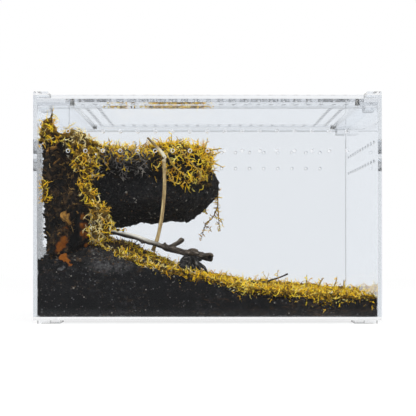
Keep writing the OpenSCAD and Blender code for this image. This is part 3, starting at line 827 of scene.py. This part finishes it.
def frond(name, seed, bend, leaves, leaf, width):
    """One stem, one unit long, that grows up Z and bends over, with leaves on alternate sides."""
    pick = random.Random(seed)
    steps, sides = 5, 3
    points, reach, faces = [], [], []
    centre, tilt, turn = Vector((0, 0, 0)), 0.0, pick.uniform(0, 6)
    spine = [(centre.copy(), Vector((0, 0, 1)))]
    for i in range(steps):
        tilt += bend / steps * pick.uniform(0.4, 1.6)
        turn += pick.uniform(-0.7, 0.7)
        way = Vector((math.sin(tilt) * math.cos(turn), math.sin(tilt) * math.sin(turn), math.cos(tilt)))
        centre = centre + way / steps
        spine.append((centre.copy(), way))
    for i, (middle, way) in enumerate(spine):
        radius = width * (1 - 0.75 * i / steps)
        for j in range(sides):
            points.append(middle + Matrix.Rotation(math.tau * j / sides, 3, way) @ aside(way) * radius)
            reach.append(i / steps)
    for i in range(steps):
        for j in range(sides):
            a, b = i * sides + j, i * sides + (j + 1) % sides
            faces.append((a, b, b + sides, a + sides))
    faces += [(2, 1, 0), tuple(steps * sides + j for j in range(sides))]
    for k in range(leaves):
        t = 0.15 + 0.8 * (k + pick.uniform(0.1, 0.9)) / leaves
        i = min(int(t * steps), steps - 1)
        middle = spine[i][0].lerp(spine[i + 1][0], t * steps - i)
        way = spine[i + 1][1]
        out = Matrix.Rotation(k * 2.4 + pick.uniform(-0.5, 0.5), 3, way) @ aside(way)
        tip = middle + (way * pick.uniform(0.4, 1.0) + out).normalized() * leaf * pick.uniform(0.5, 1.2)
        turns = [Matrix.Rotation(math.tau * j / sides, 3, out) for j in range(sides)]
        o = len(points)
        points += [*(middle + turned @ way * width * 0.8 for turned in turns), tip]
        reach += [t, t, t, min(1.0, t + leaf)]
        faces += [(o, o + 1, o + 3), (o + 1, o + 2, o + 3), (o + 2, o, o + 3), (o + 2, o + 1, o)]
    mesh = new_mesh(name, points, faces)
    mesh.attributes.new("reach", "FLOAT", "POINT").data.foreach_set("value", reach)
    made = bmesh.new()
    made.from_mesh(mesh)
    bmesh.ops.recalc_face_normals(made, faces=made.faces)
    return write_back(made, mesh)


LEAVES = [frond("leaf_short", 5, 0.8, 4, 0.42, 0.15), frond("leaf_bent", 9, 1.5, 4, 0.38, 0.13)]
FRONDS = [
    frond("frond_hooked", 3, 1.6, 7, 0.15, 0.062),
    frond("frond_curled", 8, 2.9, 7, 0.17, 0.058),
    frond("frond_forked", 14, 1.3, 6, 0.34, 0.058),
    frond("frond_tuft", 21, 2.2, 8, 0.22, 0.066),
    frond("frond_stalk", 33, 0.9, 5, 0.14, 0.046),
]


def moss_finish(name, *shades):
    """Dried fronds whose tone runs through five shades, darker at the root and with a paler tip."""
    mat, tree, shader, where = surface(name)
    drift = span(tree, cloud(tree, where, 55.0, 2.0), 0.35, 0.65, -0.22, 0.22)
    fleck = span(tree, cloud(tree, where, 1400.0, 2.0), 0.55, 0.75, 0.0, 0.35)
    spread = math_node(tree, "ADD", mark(tree, "tone"), drift)
    shade = ramp(tree, spread, *zip((0.0, 0.22, 0.5, 0.8, 1.0), shades))
    reach = mark(tree, "reach")
    tipped = mix(tree, span(tree, reach, 0.6, 1.0, 0.0, 0.3), shade, shades[4])
    rooted = mix(tree, span(tree, reach, 0.0, 0.3, 0.55, 0.0), tipped, shades[0])
    coat(tree, shader, mix(tree, fleck, rooted, shades[1]), 0.6, 0.12)
    return mat


def dim(colour, share):
    """A colour at a share of its brightness."""
    return tuple(share * part for part in colour)


def felt_finish(name, bare, covered):
    """The mat under the fronds, its colour running from bare ground to moss with its cover."""
    mat, tree, shader, where = surface(name)
    tangle = cloud(tree, where, 420.0, 6.0, Roughness=0.7, Distortion=2.0)
    strands = span(tree, tangle, 0.48, 0.62)
    low = mix(tree, strands, dim(bare, 0.25), bare)
    high = mix(tree, strands, dim(covered, 0.18), covered)
    coat(tree, shader, mix(tree, mark(tree, "cover"), low, high), 0.9, 0.15, (tangle, 1.0, 0.0012))
    return mat


GOLD = moss_finish("gold_moss", (0.12, 0.048, 0.005), (0.72, 0.35, 0.006), (1.0, 0.60, 0.008),
                   (1.0, 0.72, 0.014), (1.0, 0.85, 0.20))
AMBER = moss_finish("amber_moss", (0.05, 0.020, 0.004), (0.34, 0.15, 0.006), (0.97, 0.55, 0.010),
                    (1.0, 0.71, 0.018), (1.0, 0.88, 0.34))
STRAW = moss_finish("straw_moss", (0.08, 0.055, 0.025), (0.44, 0.30, 0.09), (0.88, 0.68, 0.24),
                    (1.0, 0.84, 0.38), (1.0, 0.98, 0.80))
RUST = moss_finish("rust_moss", (0.008, 0.005, 0.003), (0.026, 0.013, 0.005), (0.085, 0.043, 0.012),
                   (0.22, 0.12, 0.028), (0.52, 0.33, 0.11))
WITHERED = moss_finish("withered_moss", (0.010, 0.009, 0.009), (0.04, 0.037, 0.035), (0.10, 0.092, 0.085),
                       (0.19, 0.17, 0.15), (0.34, 0.30, 0.25))


def grow(name, mat, finish, seed, gap, sizes, lean, pull, rule):
    """Fronds over a mat of moss where a rule says so."""
    paint_mark(mat.data, "cover", rule)
    scatter(name, mat.data, FRONDS, finish, seed, gap, sizes, lean, pull)


# The moss over the ground: a sheet that is deepest at the right end, where its front edge meets the glass.
# It is straw at the left and gold further right, dark on the upper slope, and fringed along the glass.
ground_felt = even_copy("ground_moss", "ground_moss_felt", 1.9 * MM)
SUNK = (
    (-0.11, 3.0), (-0.095, 6.0), (-0.05, 5.0), (-0.02, 4.0), (0.03, 2.0), (0.07, 0.5), (0.11, 1.5),
    (0.145, 4.0),
)


def sink(point):
    """Follows the ground, with the top sunk below it and the underside let down at the right end."""
    along = point.co.x
    down = between(along, *SUNK) * (point.normal.z > 0.2) + 3 * (point.normal.z < -0.2 and along > 0.07)
    return Vector((0, 0, between(along, *SETTLED) - down))


push(ground_felt, sink)
roughen(ground_felt, (17, 3.6), (6, 2.8), (2.6, 1.0), gap=0.6)


def skyline(depth, *points):
    """A line read off the picture as columns and rows, in metres along X and up Z."""
    return [(seen_x(x, depth), seen_z(y, depth)) for x, y in points]


BRIGHT_BELOW = skyline(
    -85, (100, 240), (112, 247), (126, 249.5), (137, 246), (145, 251), (158, 254), (168, 258.5), (178, 262),
    (186, 240),
)


def in_front(place, normal):
    """Whether a place is at the front of the sheet, and not on its underside."""
    return place.y < -0.06 and (normal.z > -0.2 or normal.y < -0.3)


def bright(place):
    """1 where the sheet is gold and 0 on the dark upper part of its slope."""
    return unit((between(place.x, *BRIGHT_BELOW) - place.z) / (1.5 * MM) + 0.3)


def golden(left, right):
    """A rule for the bright front of the sheet, from its share at the left to that at the right."""
    return lambda place, normal: in_front(place, normal) * bright(place) * between(place.x, left, right)


grow("ground_moss_straw", ground_felt, STRAW, 41, 2.2, (4, 9), (0.8, 1.6), (0.2, -0.3, 0),
     golden((-0.08, 0.9), (-0.01, 0.12)))
grow("ground_moss_front", ground_felt, GOLD, 45, 1.9, (3.8, 8), (0.6, 1.6), (0.1, -0.35, 0),
     golden((-0.08, 0.5), (-0.02, 1.0)))
grow("ground_moss_dark", ground_felt, RUST, 53, 1.9, (3.8, 8), (0.6, 1.6), (0.1, -0.3, 0),
     lambda place, normal: (normal.z > -0.2) * (1 - bright(place)) * (place.x < -0.01))
grow("ground_moss_back", ground_felt, GOLD, 42, 3.3, (4, 8.5), (0.7, 1.5), (0, -0.15, 0),
     lambda place, normal: (place.y >= -0.06 and normal.z > -0.2) * max(bright(place), place.y > -0.02))
grow("ground_moss_fringe", ground_felt, AMBER, 49, 1.7, (5, 10), (0.5, 1.4), (0.1, -0.2, -1.6),
     lambda place, normal: place.y < -0.088 and normal.y < -0.2 and normal.z < 0.5)
paint_mark(ground_felt.data, "cover", lambda place, normal: bright(place) * unit(normal.z + 0.5))
fit(ground_felt, "ground_moss", felt_finish("ground_felt", (0.06, 0.035, 0.012), (0.60, 0.34, 0.02)))

# The moss on the overhang: a sheet that is thick at the nose and thin at the column.
# It hangs over the front edge in amber strands, which are withered at the left.
HANG = skyline(
    -32, (98, 156), (106, 160), (115, 163), (124, 168), (131, 163), (138, 153), (143, 164), (148, 168),
    (153, 173), (160, 177), (167, 184), (176, 188), (186, 191), (196, 190), (202, 187), (204.5, 177),
    (209, 171), (217, 166),
)
shelf_felt = even_copy("shelf_moss", "shelf_moss_felt", 1.6 * MM)
THIN = [(seen_x(x, -25), deep) for x, deep in (
    (100, 0.0), (110, 2.5), (126, 3.8), (145, 2.0), (158, -1.0), (175, -2.2), (200, -1.5),
)]
push(shelf_felt, lambda point: Vector((0, 0, -between(point.co.x, *THIN))) * (point.normal.z > 0.3))
roughen(shelf_felt, (14, 2.8), (5, 2.2), (2.4, 1.0))


def over_edge(place, normal):
    """1 on the sheet's front face and 0 on its top."""
    return unit(-normal.y * 1.6) * (place.y < 0)


def hanging(place, normal):
    """How thickly the front face is grown: most at the brow, and thinning to the hanging edge."""
    low = between(place.x, *HANG)
    return 0.42 * unit((place.z - low + 2 * MM) / (18 * MM) + 0.12) * (place.z > low - 1 * MM)


def shelf_cover(place, normal):
    """How thickly the sheet is grown, on its top and on its front face."""
    edge = over_edge(place, normal)
    top = (normal.z > -0.2) * (1 if place.y < 0.02 else 0.4) * (place.z > between(place.x, *HANG) - 1 * MM)
    return top * (1 - edge) + hanging(place, normal) * edge


grow("shelf_moss_fronds", shelf_felt, GOLD, 43, 2.0, (5, 11), (0.5, 1.4), (0, -0.2, -0.15), shelf_cover)
grow("shelf_moss_strands", shelf_felt, AMBER, 46, 4.6, (8, 16), (0.8, 1.7), (0, -0.2, -0.9),
     lambda place, normal: over_edge(place, normal) * (place.z > between(place.x, *HANG) + 3 * MM))
WITHERED_FROM, WITHERED_TO = seen_x(98, -30), seen_x(147, -30)
grow("shelf_withered_strands", shelf_felt, WITHERED, 47, 1.9, (6, 11), (0.6, 1.6), (0, -0.2, -0.5),
     lambda place, normal: over_edge(place, normal) * (WITHERED_FROM < place.x < WITHERED_TO))
paint_mark(shelf_felt.data, "cover", lambda place, normal: (1 - over_edge(place, normal)) * unit(normal.z))
fit(shelf_felt, "shelf_moss", felt_finish("shelf_felt", (0.010, 0.008, 0.006), (0.50, 0.28, 0.02)))

# Moss on the bark column: clumps down its right side from a plume that stands up to the ledge.
# Straw-coloured tangles sit at its top and low down, where the clumps spill on to the ground.
COLUMN_CLUMPS = (
    (52.9, 110.6, -84, 0.8), (52.8, 112.8, -84, 1.2), (52, 115.5, -84, 1.6), (50.6, 119, -85, 2.9),
    (48, 123, -86, 4.0), (45.5, 128, -87, 4.6), (50.5, 130, -85, 4.8), (43.5, 134, -88, 4.2),
    (41.5, 141, -89, 2.2), (47.5, 137, -83, 3.6), (55, 134.5, -84, 4.2), (60.5, 136.5, -82, 3.6),
    (67, 137, -80, 4.4), (72, 136, -78, 5.6), (79, 139, -75, 5.6), (86, 143, -70, 5.0), (93, 146, -58, 4.6),
    (98, 148, -48, 4.6), (75, 146, -78, 4.6), (80, 151, -78, 5.4), (87, 153, -74, 5.0), (79, 158, -79, 4.6),
    (85, 161, -78, 5.2), (89, 165, -74, 4.0), (81, 167, -79, 3.8), (86, 172, -77, 4.6), (84, 179, -78, 3.8),
    (86.5, 185, -77, 3.6), (86, 190, -78, 3.4), (88, 196, -77, 4.4), (92, 195, -75, 3.6),
    (90, 203, -77, 4.4), (95, 204, -75, 3.6), (96, 211, -74, 4.8), (102, 213, -72, 5.0),
    (97, 219, -73, 5.4), (105, 221, -71, 4.6), (97, 227, -72, 5.2), (105, 228, -69, 4.4),
    (94, 232, -74, 4.0), (101, 234, -71, 4.4), (107, 235.5, -70, 3.0), (112, 238, -69, 2.4),
    (43.5, 181.5, -87, 2.2), (43, 187, -88, 2.8), (44.5, 193, -87, 2.4), (45, 198, -87, 1.6),
    (113, 228, -50, 2.6), (118, 229.5, -48, 2.2), (123, 230.5, -46, 1.6),
)


def tangled(place):
    """1 in the two straw-coloured tangles."""
    top, low = seen(75, 135, -77) * MM, seen(93, 226, -74) * MM
    return max(0, 1.1 - (place - top).length / 0.015, 1.1 - (place - low).length / 0.014)


column_felt = clumps("column_moss_felt", COLUMN_CLUMPS, 1.4 * MM)
roughen(column_felt, (9, 2.4), (4, 1.8))
grow("column_moss_fronds", column_felt, GOLD, 44, 1.9, (4, 9), (0.5, 1.55), (0.15, -0.25, 0),
     lambda place, normal: 1 - 0.8 * tangled(place))
grow("column_moss_straw", column_felt, STRAW, 48, 1.7, (6, 12), (0.7, 1.6), (0.1, -0.2, 0),
     lambda place, normal: max(0.1, tangled(place)))
DARK_MOSS = (seen(76, 172, -80), 17, 26)


def rust_cover(place, normal):
    """How thickly the sound bark on the column's front is grown with dark fronds."""
    sound = hollow(place, normal) < 0.1 and rotten(place, normal) < 0.1
    dense = max(0.3 + 0.3 * lumps(place, 9), min(1, 2 * near(place, *DARK_MOSS)))
    return (normal.y < -0.1 and sound and place.z < 0.155) * dense


grow("column_rust_fronds", column, RUST, 50, 2.2, (3.5, 8), (0.7, 1.6), (0.1, -0.15, -0.2), rust_cover)
paint_mark(column_felt.data, "cover", lambda place, normal: unit(0.5 + normal.z))
fit(column_felt, "column_moss", felt_finish("column_felt", (0.04, 0.021, 0.007), (0.42, 0.23, 0.02)))


# The wood: a driftwood branch with a side fork, a gnarled knot of root under it, a dry reed and a thin twig.
# Each is grown from its limbs as one skin, whose grain follows the nearest limb.
def smooth_line(points, step):
    """Points evenly along a smooth curve through the given ones, with whatever else each point holds."""
    line = []
    ends = [points[0], *points, points[-1]]
    for a, b, c, d in zip(ends, ends[1:], ends[2:], ends[3:]):
        count = max(1, round(math.dist(b[:3], c[:3]) / step))
        for i in range(count):
            t = i / count
            line.append([0.5 * (
                2 * q + (r - p) * t + (2 * p - 5 * q + 4 * r - s) * t * t + (3 * q - p - 3 * r + s) * t ** 3
            ) for p, q, r, s in zip(a, b, c, d)])
    return [*line, list(points[-1])]


def grow_wood(name, limbs, cell, step=1.0, sides=12):
    """A woody piece from limbs, each a list of (x, y, z, radius) in millimetres, fused into one skin.

    Its grain mark says how far across and along the nearest limb a place is, in millimetres, and its run
    mark says at what share of the limb's length.
    """
    points, faces, tree = [], [], []
    for limb in limbs:
        line = smooth_line(limb, step)
        along, across = 0.0, None
        start = len(points)
        for i, (x, y, z, radius) in enumerate(line):
            middle = Vector((x, y, z))
            way = (Vector(line[min(i + 1, len(line) - 1)][:3]) - Vector(line[max(i - 1, 0)][:3])).normalized()
            if across:
                across = across.cross(way).cross(way).normalized() * -1
            else:
                across = way.orthogonal().normalized()
            side = way.cross(across)
            along += (middle - Vector(line[i - 1][:3])).length if i else 0
            tree.append((middle, across, side, along, i / (len(line) - 1)))
            for j in range(sides):
                turn = math.tau * j / sides
                points.append((middle + (across * math.cos(turn) + side * math.sin(turn)) * radius) * MM)
        rings = len(line)
        for i in range(rings - 1):
            for j in range(sides):
                a, b = start + i * sides + j, start + i * sides + (j + 1) % sides
                faces.append((a, b, b + sides, a + sides))
        faces.append(tuple(start + j for j in reversed(range(sides))))
        faces.append(tuple(start + (rings - 1) * sides + j for j in range(sides)))
    obj = stand(name, new_mesh(name, points, faces))
    skin(obj, cell * MM)
    nearest = kdtree.KDTree(len(tree))
    for i, part in enumerate(tree):
        nearest.insert(part[0], i)
    nearest.balance()
    grain, run = [], []
    for vertex in obj.data.vertices:
        place = vertex.co / MM
        middle, across, side, along, share = tree[nearest.find(place)[1]]
        off = place - middle
        grain.extend((off.dot(across), off.dot(side), along))
        run.append(share)
    obj.data.attributes.new("grain", "FLOAT_VECTOR", "POINT").data.foreach_set("vector", grain)
    obj.data.attributes.new("run", "FLOAT", "POINT").data.foreach_set("value", run)
    return obj


def carve(obj, *layers):
    """Roughens a woody piece by layers of noise that run with its grain, each (lump size, depth, stretch)."""
    grain = [Vector(v.vector) * MM for v in obj.data.attributes["grain"].data]
    push(obj, lambda point: point.normal * sum(
        deep * lumps(grain[point.index], size, (1, 1, long)) for size, deep, long in layers))


def wood_finish(name, dark, mid, pale, bare=None):
    """Wood with its grain along the piece, from dark clefts to pale fibre: bare is its stripped colour, which
    on the driftwood is also a painted highlight.
    """
    mat, tree, shader, where = surface(name)
    way = put(tree, "ShaderNodeAttribute", attribute_name="grain").outputs["Vector"]
    lengthways = put(tree, "ShaderNodeMapping", way, Scale=(1.0, 1.0, 0.09))
    fibre = cloud(tree, lengthways, 1.0, 6.0, Roughness=0.7)
    blotch = cloud(tree, where, 160.0, 4.0, Roughness=0.6)
    base = mix(tree, span(tree, fibre, 0.38, 0.66), dark, mid)
    streaked = mix(tree, span(tree, fibre, 0.56, 0.72, 0.0, 0.9), base, pale)
    dirt_and_painted_light = mix(tree, span(tree, blotch, 0.52, 0.70, 0.0, 0.75), streaked, dark)
    if bare:
        # The bare mark paints the stripped colour; on the driftwood it is also a painted highlight on the
        # upper side.
        dirt_and_painted_light = mix(tree, mark(tree, "bare"), dirt_and_painted_light, mix(tree, fibre, dim(bare, 0.6), bare))
        # The stain mark darkens stains, and on the driftwood it is painted shade under the branch and in its
        # knot hole.
        dirt_and_painted_light = mix(tree, mark(tree, "stain"), dirt_and_painted_light, dim(dark, 0.4))
    coat(tree, shader, dirt_and_painted_light, 0.7, 0.3, (fibre, 0.9, 0.001))
    return mat


def inside(points, thick):
    """A limb of grow_wood from points given from the case's inner corner, and their radii."""
    return [(*(Vector(point) + INSIDE), radius) for point, radius in zip(points, thick)]


SLIM = 0.85


def traced(*limbs):
    """Limbs read off the picture as (column, row, depth, radius), slimmed as the skin swells them."""
    return [[(*seen(x, y, depth), SLIM * radius) for x, y, depth, radius in limb] for limb in limbs]


BRANCH = inside(
    ((41, 52.95, 77.4), (52.3, 52.95, 75.2), (71.4, 52.95, 71.2), (93.8, 52.95, 64.2), (108.3, 52.95, 59.9),
     (126.2, 52.95, 54.6), (132, 52.95, 53.9), (139.7, 52.95, 52.2), (151.3, 52.95, 49.9)),
    (2.1, 2.35, 2.45, 2.5, 2.75, 3.0, 3.9, 3.3, 3.5),
)
FORK = inside(
    ((111, 52.95, 59.2), (115, 52.9, 61.2), (119.5, 52.3, 64), (123.8, 52.1, 67.6)), (2.2, 1.9, 1.6, 1.7),
)
STUBS = [
    inside(((109, 51.5, 61.5), (107.9, 50.4, 63.9)), (1.2, 0.8)),
    inside(((129, 52.9, 55), (133, 51.8, 57.2), (138, 51.8, 56.0)), (2.4, 1.8, 1.6)),
    inside(((86, 52.9, 66.5), (87.5, 51.5, 63.0)), (1.2, 0.7)),
    inside(((143, 50.5, 52.2), (149, 50.2, 53.0), (151.5, 50.2, 51.8)), (1.8, 1.9, 1.7)),
]
branch = grow_wood("driftwood", [BRANCH, FORK, *STUBS], 0.55)
branch_end = Vector(BRANCH[-1][:3]) * MM
branch_fork_end = Vector(FORK[-1][:3]) * MM
# The driftwood's left end is painted pale on its upward faces: stripped wood with a painted highlight on top.
paint_mark(branch.data, "bare", lambda place, normal: unit(normal.z * 1.5) * between(
    place.x, (-0.062, 1.0), (-0.040, 0.0)))
KNOT_HOLE = (seen(209.6, 257, -47), 2.5, 2.7)


def branch_shade_and_ends(place, normal):
    """Dark on the two sawn ends, and painted shade in the knot hole and along the underside."""
    hole = unit(4 * near(place, *KNOT_HOLE)) * (normal.y < -0.1)
    end_cut = (normal.x > 0.75) * ((place - branch_end).length < 2.5 * MM)
    fork_cut = (normal.z > 0.5) * ((place - branch_fork_end).length < 1.2 * MM)
    return max(hole, end_cut, fork_cut, 0.8 * unit(-normal.z * 1.6))


paint_mark(branch.data, "stain", branch_shade_and_ends)
push(branch, lambda point: Vector((0, 1.6, 0)) * (point.normal.y < -0.1 and near(point.co, *KNOT_HOLE) > 0.2))
carve(branch, (2.2, 1.3, 0.10), (5, 1.6, 0.35), (1.2, 0.5, 0.3))
driftwood = wood_finish(
    "driftwood_grain", (0.010, 0.008, 0.006), (0.13, 0.098, 0.070), (0.50, 0.44, 0.36), (1.0, 0.94, 0.80),
)
fit(branch, "driftwood_branch", driftwood)

ROOTS = traced(
    ((181, 260, -46, 2.2), (187, 258.5, -46, 3.2), (195, 258.5, -45, 3.0), (201, 260, -44, 1.6)),
    ((190, 258, -47, 3.0), (189, 264, -47, 2.4), (186, 269, -47, 2.0), (184, 273, -47, 1.4)),
    ((195, 259, -46, 2.4), (199, 266, -47, 1.8), (201, 272, -47, 1.4)),
    ((178, 264, -48, 1.6), (183, 262, -48, 2.2), (189, 263, -47, 2.0)),
    ((178, 268, -48, 1.2), (182, 266, -49, 1.9), (188, 268, -48, 1.8), (192, 272, -48, 1.3)),
    ((199, 263, -45, 1.6), (204, 268, -45, 1.3), (207, 274, -45, 0.9)),
    ((191, 260, -44, 2.6), (193.5, 266, -44, 2.0), (195, 273, -45, 1.5)),
    ((186, 262, -44, 1.2), (183, 267, -43, 1.0), (186, 272, -43, 0.8)),
    ((192, 263, -42.5, 1.0), (189, 268, -42, 0.9), (192, 273, -42, 0.8)),
)
knot = grow_wood("gnarled_root", ROOTS, 0.6)
carve(knot, (2.4, 1.5, 0.3), (1.3, 0.8, 0.5))
root = wood_finish("root_grain", (0.004, 0.004, 0.004), (0.025, 0.022, 0.020), (0.42, 0.40, 0.37))
fit(knot, "root_knot", root)

FOOT_DEPTH, HEAD_DEPTH = -38.4, -38.8
REED_FOOT = [(*seen(x, y, FOOT_DEPTH), radius) for x, y, radius in (
    (152.8, 251, 1.75), (157, 239.5, 1.8), (160.4, 225, 1.75), (162.4, 212, 1.7), (164.4, 190, 1.65),
    (164.5, 172, 1.65), (164, 159.5, 1.8),
)]
REED_HEAD = [(*seen(x, y, HEAD_DEPTH), radius) for x, y, radius in (
    (165.8, 158.4, 1.5), (161.5, 152.2, 1.6), (156, 146.4, 1.3), (151.5, 141.8, 1.25), (147.5, 137.5, 1.0),
)]
reed = grow_wood("dry_reed", [REED_FOOT, REED_HEAD], 0.45)
JOINTS = (0.30, 0.62, 0.97)
reed_run = [v.value for v in reed.data.attributes["run"].data]
push(reed, lambda point: point.normal * 0.3 * max(
    0, 1 - min(abs(reed_run[point.index] - joint) for joint in JOINTS) / 0.012))
paint_mark(reed.data, "bare", lambda place, normal: between(
    place.z, (0.144, 0.0), (0.149, 0.9), (0.154, 0.7), (0.159, 0.0)))
# The reed is darker towards its foot and its top, and in dark spots.
paint_mark(reed.data, "stain", lambda place, normal: max(
    between(place.z, (0.064, 0.7), (0.068, 0.0), (0.156, 0.0), (0.163, 0.75)),
    0.6 * (lumps(place, 2.2) > 0.5)))
carve(reed, (1.6, 0.3, 0.1))
reed_fibre = wood_finish(
    "reed_fibre", (0.22, 0.135, 0.05), (0.62, 0.46, 0.21), (0.88, 0.73, 0.42), (1.0, 0.90, 0.66),
)
fit(reed, "reed_stem", reed_fibre)

TWIG = inside(
    ((177, 86.6, 26.6), (187, 86.8, 26.9), (197, 87.3, 25.6), (204, 87.3, 27), (211, 87.3, 29.2),
     (218, 87.3, 31.6), (223.8, 87.3, 34.2)),
    (1.1, 1.3, 1.2, 1.0, 0.9, 0.85, 0.95),
)
twig = grow_wood("fallen_twig", [TWIG], 0.4)
carve(twig, (1.4, 0.25, 0.2))
twig_grain = wood_finish("twig_grain", (0.012, 0.010, 0.009), (0.06, 0.045, 0.033), (0.2, 0.15, 0.1))
fit(twig, "twig", twig_grain)


# Strands of moss that hang from the overhang's nose, and sprigs that stand clear of the sheets.
# Each is a thin stem with short fronds along it.
STRANDS = [
    inside(((157.6, 156.4, 117.7), (157.9, 156.4, 99.8), (158.6, 156.4, 87.5), (160.3, 156.4, 75.7)),
           (0.6, 0.5, 0.45, 0.35)),
    inside(((157.6, 156.4, 101.5), (152.5, 156.4, 89.7), (145.2, 156.4, 81.9), (140.2, 156.4, 65.6)),
           (0.55, 0.45, 0.4, 0.3)),
    inside(((144.9, 156.4, 81), (149, 156.2, 79), (151.5, 156, 75)), (0.45, 0.4, 0.3)),
    inside(((158.4, 156.4, 90), (161.5, 156, 86.5), (162.6, 156, 82)), (0.5, 0.4, 0.3)),
    [(*seen(x, y, 59), 0.4) for x, y in ((203.6, 205), (204.6, 209), (207.6, 214.4))],
]
strands = grow_wood("moss_strands", STRANDS, 0.4)
strand_bark = wood_finish("strand_bark", (0.10, 0.06, 0.015), (0.42, 0.26, 0.05), (0.65, 0.46, 0.12))
fit(strands, "hanging_moss", strand_bark)
paint_mark(strands.data, "cover", lambda place, normal: 1)
scatter("strand_leaves", strands.data, LEAVES, AMBER, 51, 1.0, (2.6, 5.0), (0.5, 1.4), (0, 0, -0.6))

SPRIGS = traced(
    ((306, 287, -78, 1.2), (306.5, 280, -78, 0.8), (306.6, 274.5, -78, 0.4)),
    ((319, 286, -76, 1.0), (321, 281, -76, 0.7), (324, 277.5, -76, 0.4)),
    ((334, 286, -80, 0.9), (336, 281, -80, 0.6), (337, 276, -80, 0.35)),
    ((344, 288, -80, 0.9), (343.6, 283, -80, 0.6), (343.4, 279.5, -80, 0.3)),
    ((266, 284, -30, 0.6), (266, 278, -30, 0.4), (263, 273, -30, 0.35), (264.3, 271, -30, 0.3)),
    ((264, 285, -32, 0.5), (267, 279, -32, 0.4), (269, 272.5, -32, 0.3)),
    ((279, 285, -20, 0.6), (277.8, 276, -20, 0.4), (277.6, 271, -20, 0.35), (279.2, 269.4, -20, 0.3),
     (280.4, 271.5, -20, 0.3)),
    ((222, 279, -60, 0.8), (221, 275, -60, 0.6), (223.5, 272, -60, 0.4)),
    ((231, 281, -50, 0.6), (231.5, 276, -50, 0.4), (230.5, 273, -50, 0.3)),
    ((208, 150, -20, 1.1), (215, 149.5, -20, 0.9), (222, 148.5, -20, 0.5)),
    ((208, 156, -20, 1.0), (215, 154.5, -20, 0.8), (221, 152, -20, 0.4)),
    ((208, 162, -22, 1.1), (216, 164, -22, 0.8), (223.5, 168, -22, 0.4)),
    ((171, 143, -20, 0.8), (171.6, 138, -20, 0.6), (171.4, 134.5, -20, 0.4)),
    ((205, 147, -15, 0.8), (206.6, 143, -15, 0.6), (207.6, 138.5, -15, 0.4)),
    ((135, 150, -22, 0.7), (135.5, 145, -22, 0.5), (134, 141, -22, 0.4)),
    ((82, 133, -72, 0.6), (67.2, 133, -74, 0.5), (67.5, 128.5, -74, 0.5)),
    ((90, 177, -73, 0.8), (96, 176, -73, 0.6), (103.5, 177.5, -73, 0.35)),
    ((90, 192, -73, 0.9), (95, 191, -73, 0.7), (97, 188, -73, 0.4)),
    ((92, 204, -72, 1.0), (98, 204.5, -72, 0.7), (103.5, 204.5, -72, 0.4)),
    ((104, 211, -70, 0.8), (108, 210, -70, 0.6), (110, 211.5, -70, 0.4)),
    ((84, 152, -79, 0.7), (91, 159, -79, 0.6), (96.5, 166, -76, 0.4)),
    ((84, 152, -40, 0.8), (92, 158, -36, 0.7), (95.5, 165.5, -34, 0.5)),
    ((97, 158, -40, 0.8), (103, 160, -36, 0.8), (110, 170, -34, 0.6)),
    ((42, 186, -90, 0.6), (40.4, 189, -91, 0.5), (38.8, 191.5, -92, 0.4)),
    ((92, 175, -73, 0.8), (97, 175, -72, 0.7), (103.4, 176.4, -71, 0.5)),
    ((88.5, 227, -82, 0.8), (90, 233, -83, 0.8), (93, 238.5, -84, 0.8), (99, 242, -84, 0.8),
     (104, 246.5, -84, 0.75), (109, 250.5, -84, 0.6)),
    ((174, 146, -33, 0.9), (182, 152, -35, 0.8), (189, 160, -37, 0.8), (196, 168, -37, 0.8),
     (201, 176, -36, 0.7), (198, 184, -36, 0.6)),
    ((166, 152, -34, 0.9), (170, 160, -36, 0.8), (176, 168, -37, 0.8), (182, 173, -37, 0.7),
     (189, 176, -36, 0.6)),
    ((162, 160, -34, 0.8), (168, 172, -36, 0.8), (172, 181, -36, 0.8), (180, 184, -36, 0.6)),
)
sprigs = grow_wood("moss_sprigs", SPRIGS, 0.36, sides=8)
paint_mark(sprigs.data, "cover", lambda place, normal: 1)
scatter("sprig_leaves", sprigs.data, LEAVES, GOLD, 52, 1.5, (2.0, 4.0), (0.4, 1.3))
fit(sprigs, "", wood_finish("sprig_bark", (0.20, 0.12, 0.03), (0.62, 0.42, 0.08), (0.8, 0.6, 0.2)))


# Curls of torn bark at the column's top, and one of golden wood in the mouth of its hollow.
# They are thin shavings, paler than the bark that they came off.
SHAVINGS = traced(
    ((46.5, 151.5, -80, 1.0), (50, 148.5, -81, 1.6), (54, 148, -81, 1.8), (57.5, 147, -80, 1.2)),
    ((55.5, 145, -80, 0.9), (58, 142, -81, 1.1), (62, 141, -81, 0.9), (65, 142, -80, 0.7)),
    ((62.6, 212.2, -84, 1.3), (61.8, 215.6, -85, 1.7), (63.8, 219.2, -86, 1.8), (67.2, 221.8, -86, 1.5),
     (70.8, 225.0, -85, 1.2)),
    ((65.2, 211.4, -84, 1.3), (64.8, 215, -86, 1.6), (66.4, 218.6, -86, 1.5), (69.6, 221.6, -86, 1.2),
     (72.0, 223.4, -84, 0.8)),
    ((68.4, 213.8, -84, 1.2), (67.6, 216.4, -86, 1.5), (67.8, 218.8, -86, 1.2)),
    ((53, 164.5, -80, 0.5), (57, 161, -80, 0.7), (60, 158, -80, 0.6)),
    ((57, 234.8, -81, 0.5), (60.2, 232.6, -81, 0.9)),
    ((57.4, 254.4, -95, 0.5), (59.6, 252.6, -95, 0.8)), ((76.4, 211, -81, 0.5), (78.4, 213.4, -81, 0.7)),
    ((72.5, 226, -82, 0.4), (74.5, 224.4, -82, 0.5)),
)
shavings = grow_wood("bark_shavings", SHAVINGS, 0.34, sides=8)
carve(shavings, (3.2, 1.0, 0.3), (1.3, 0.8, 0.2))
shaved = wood_finish("shaved_wood", (0.022, 0.010, 0.002), (0.36, 0.16, 0.018), (0.80, 0.48, 0.12))
fit(shavings, "", shaved)
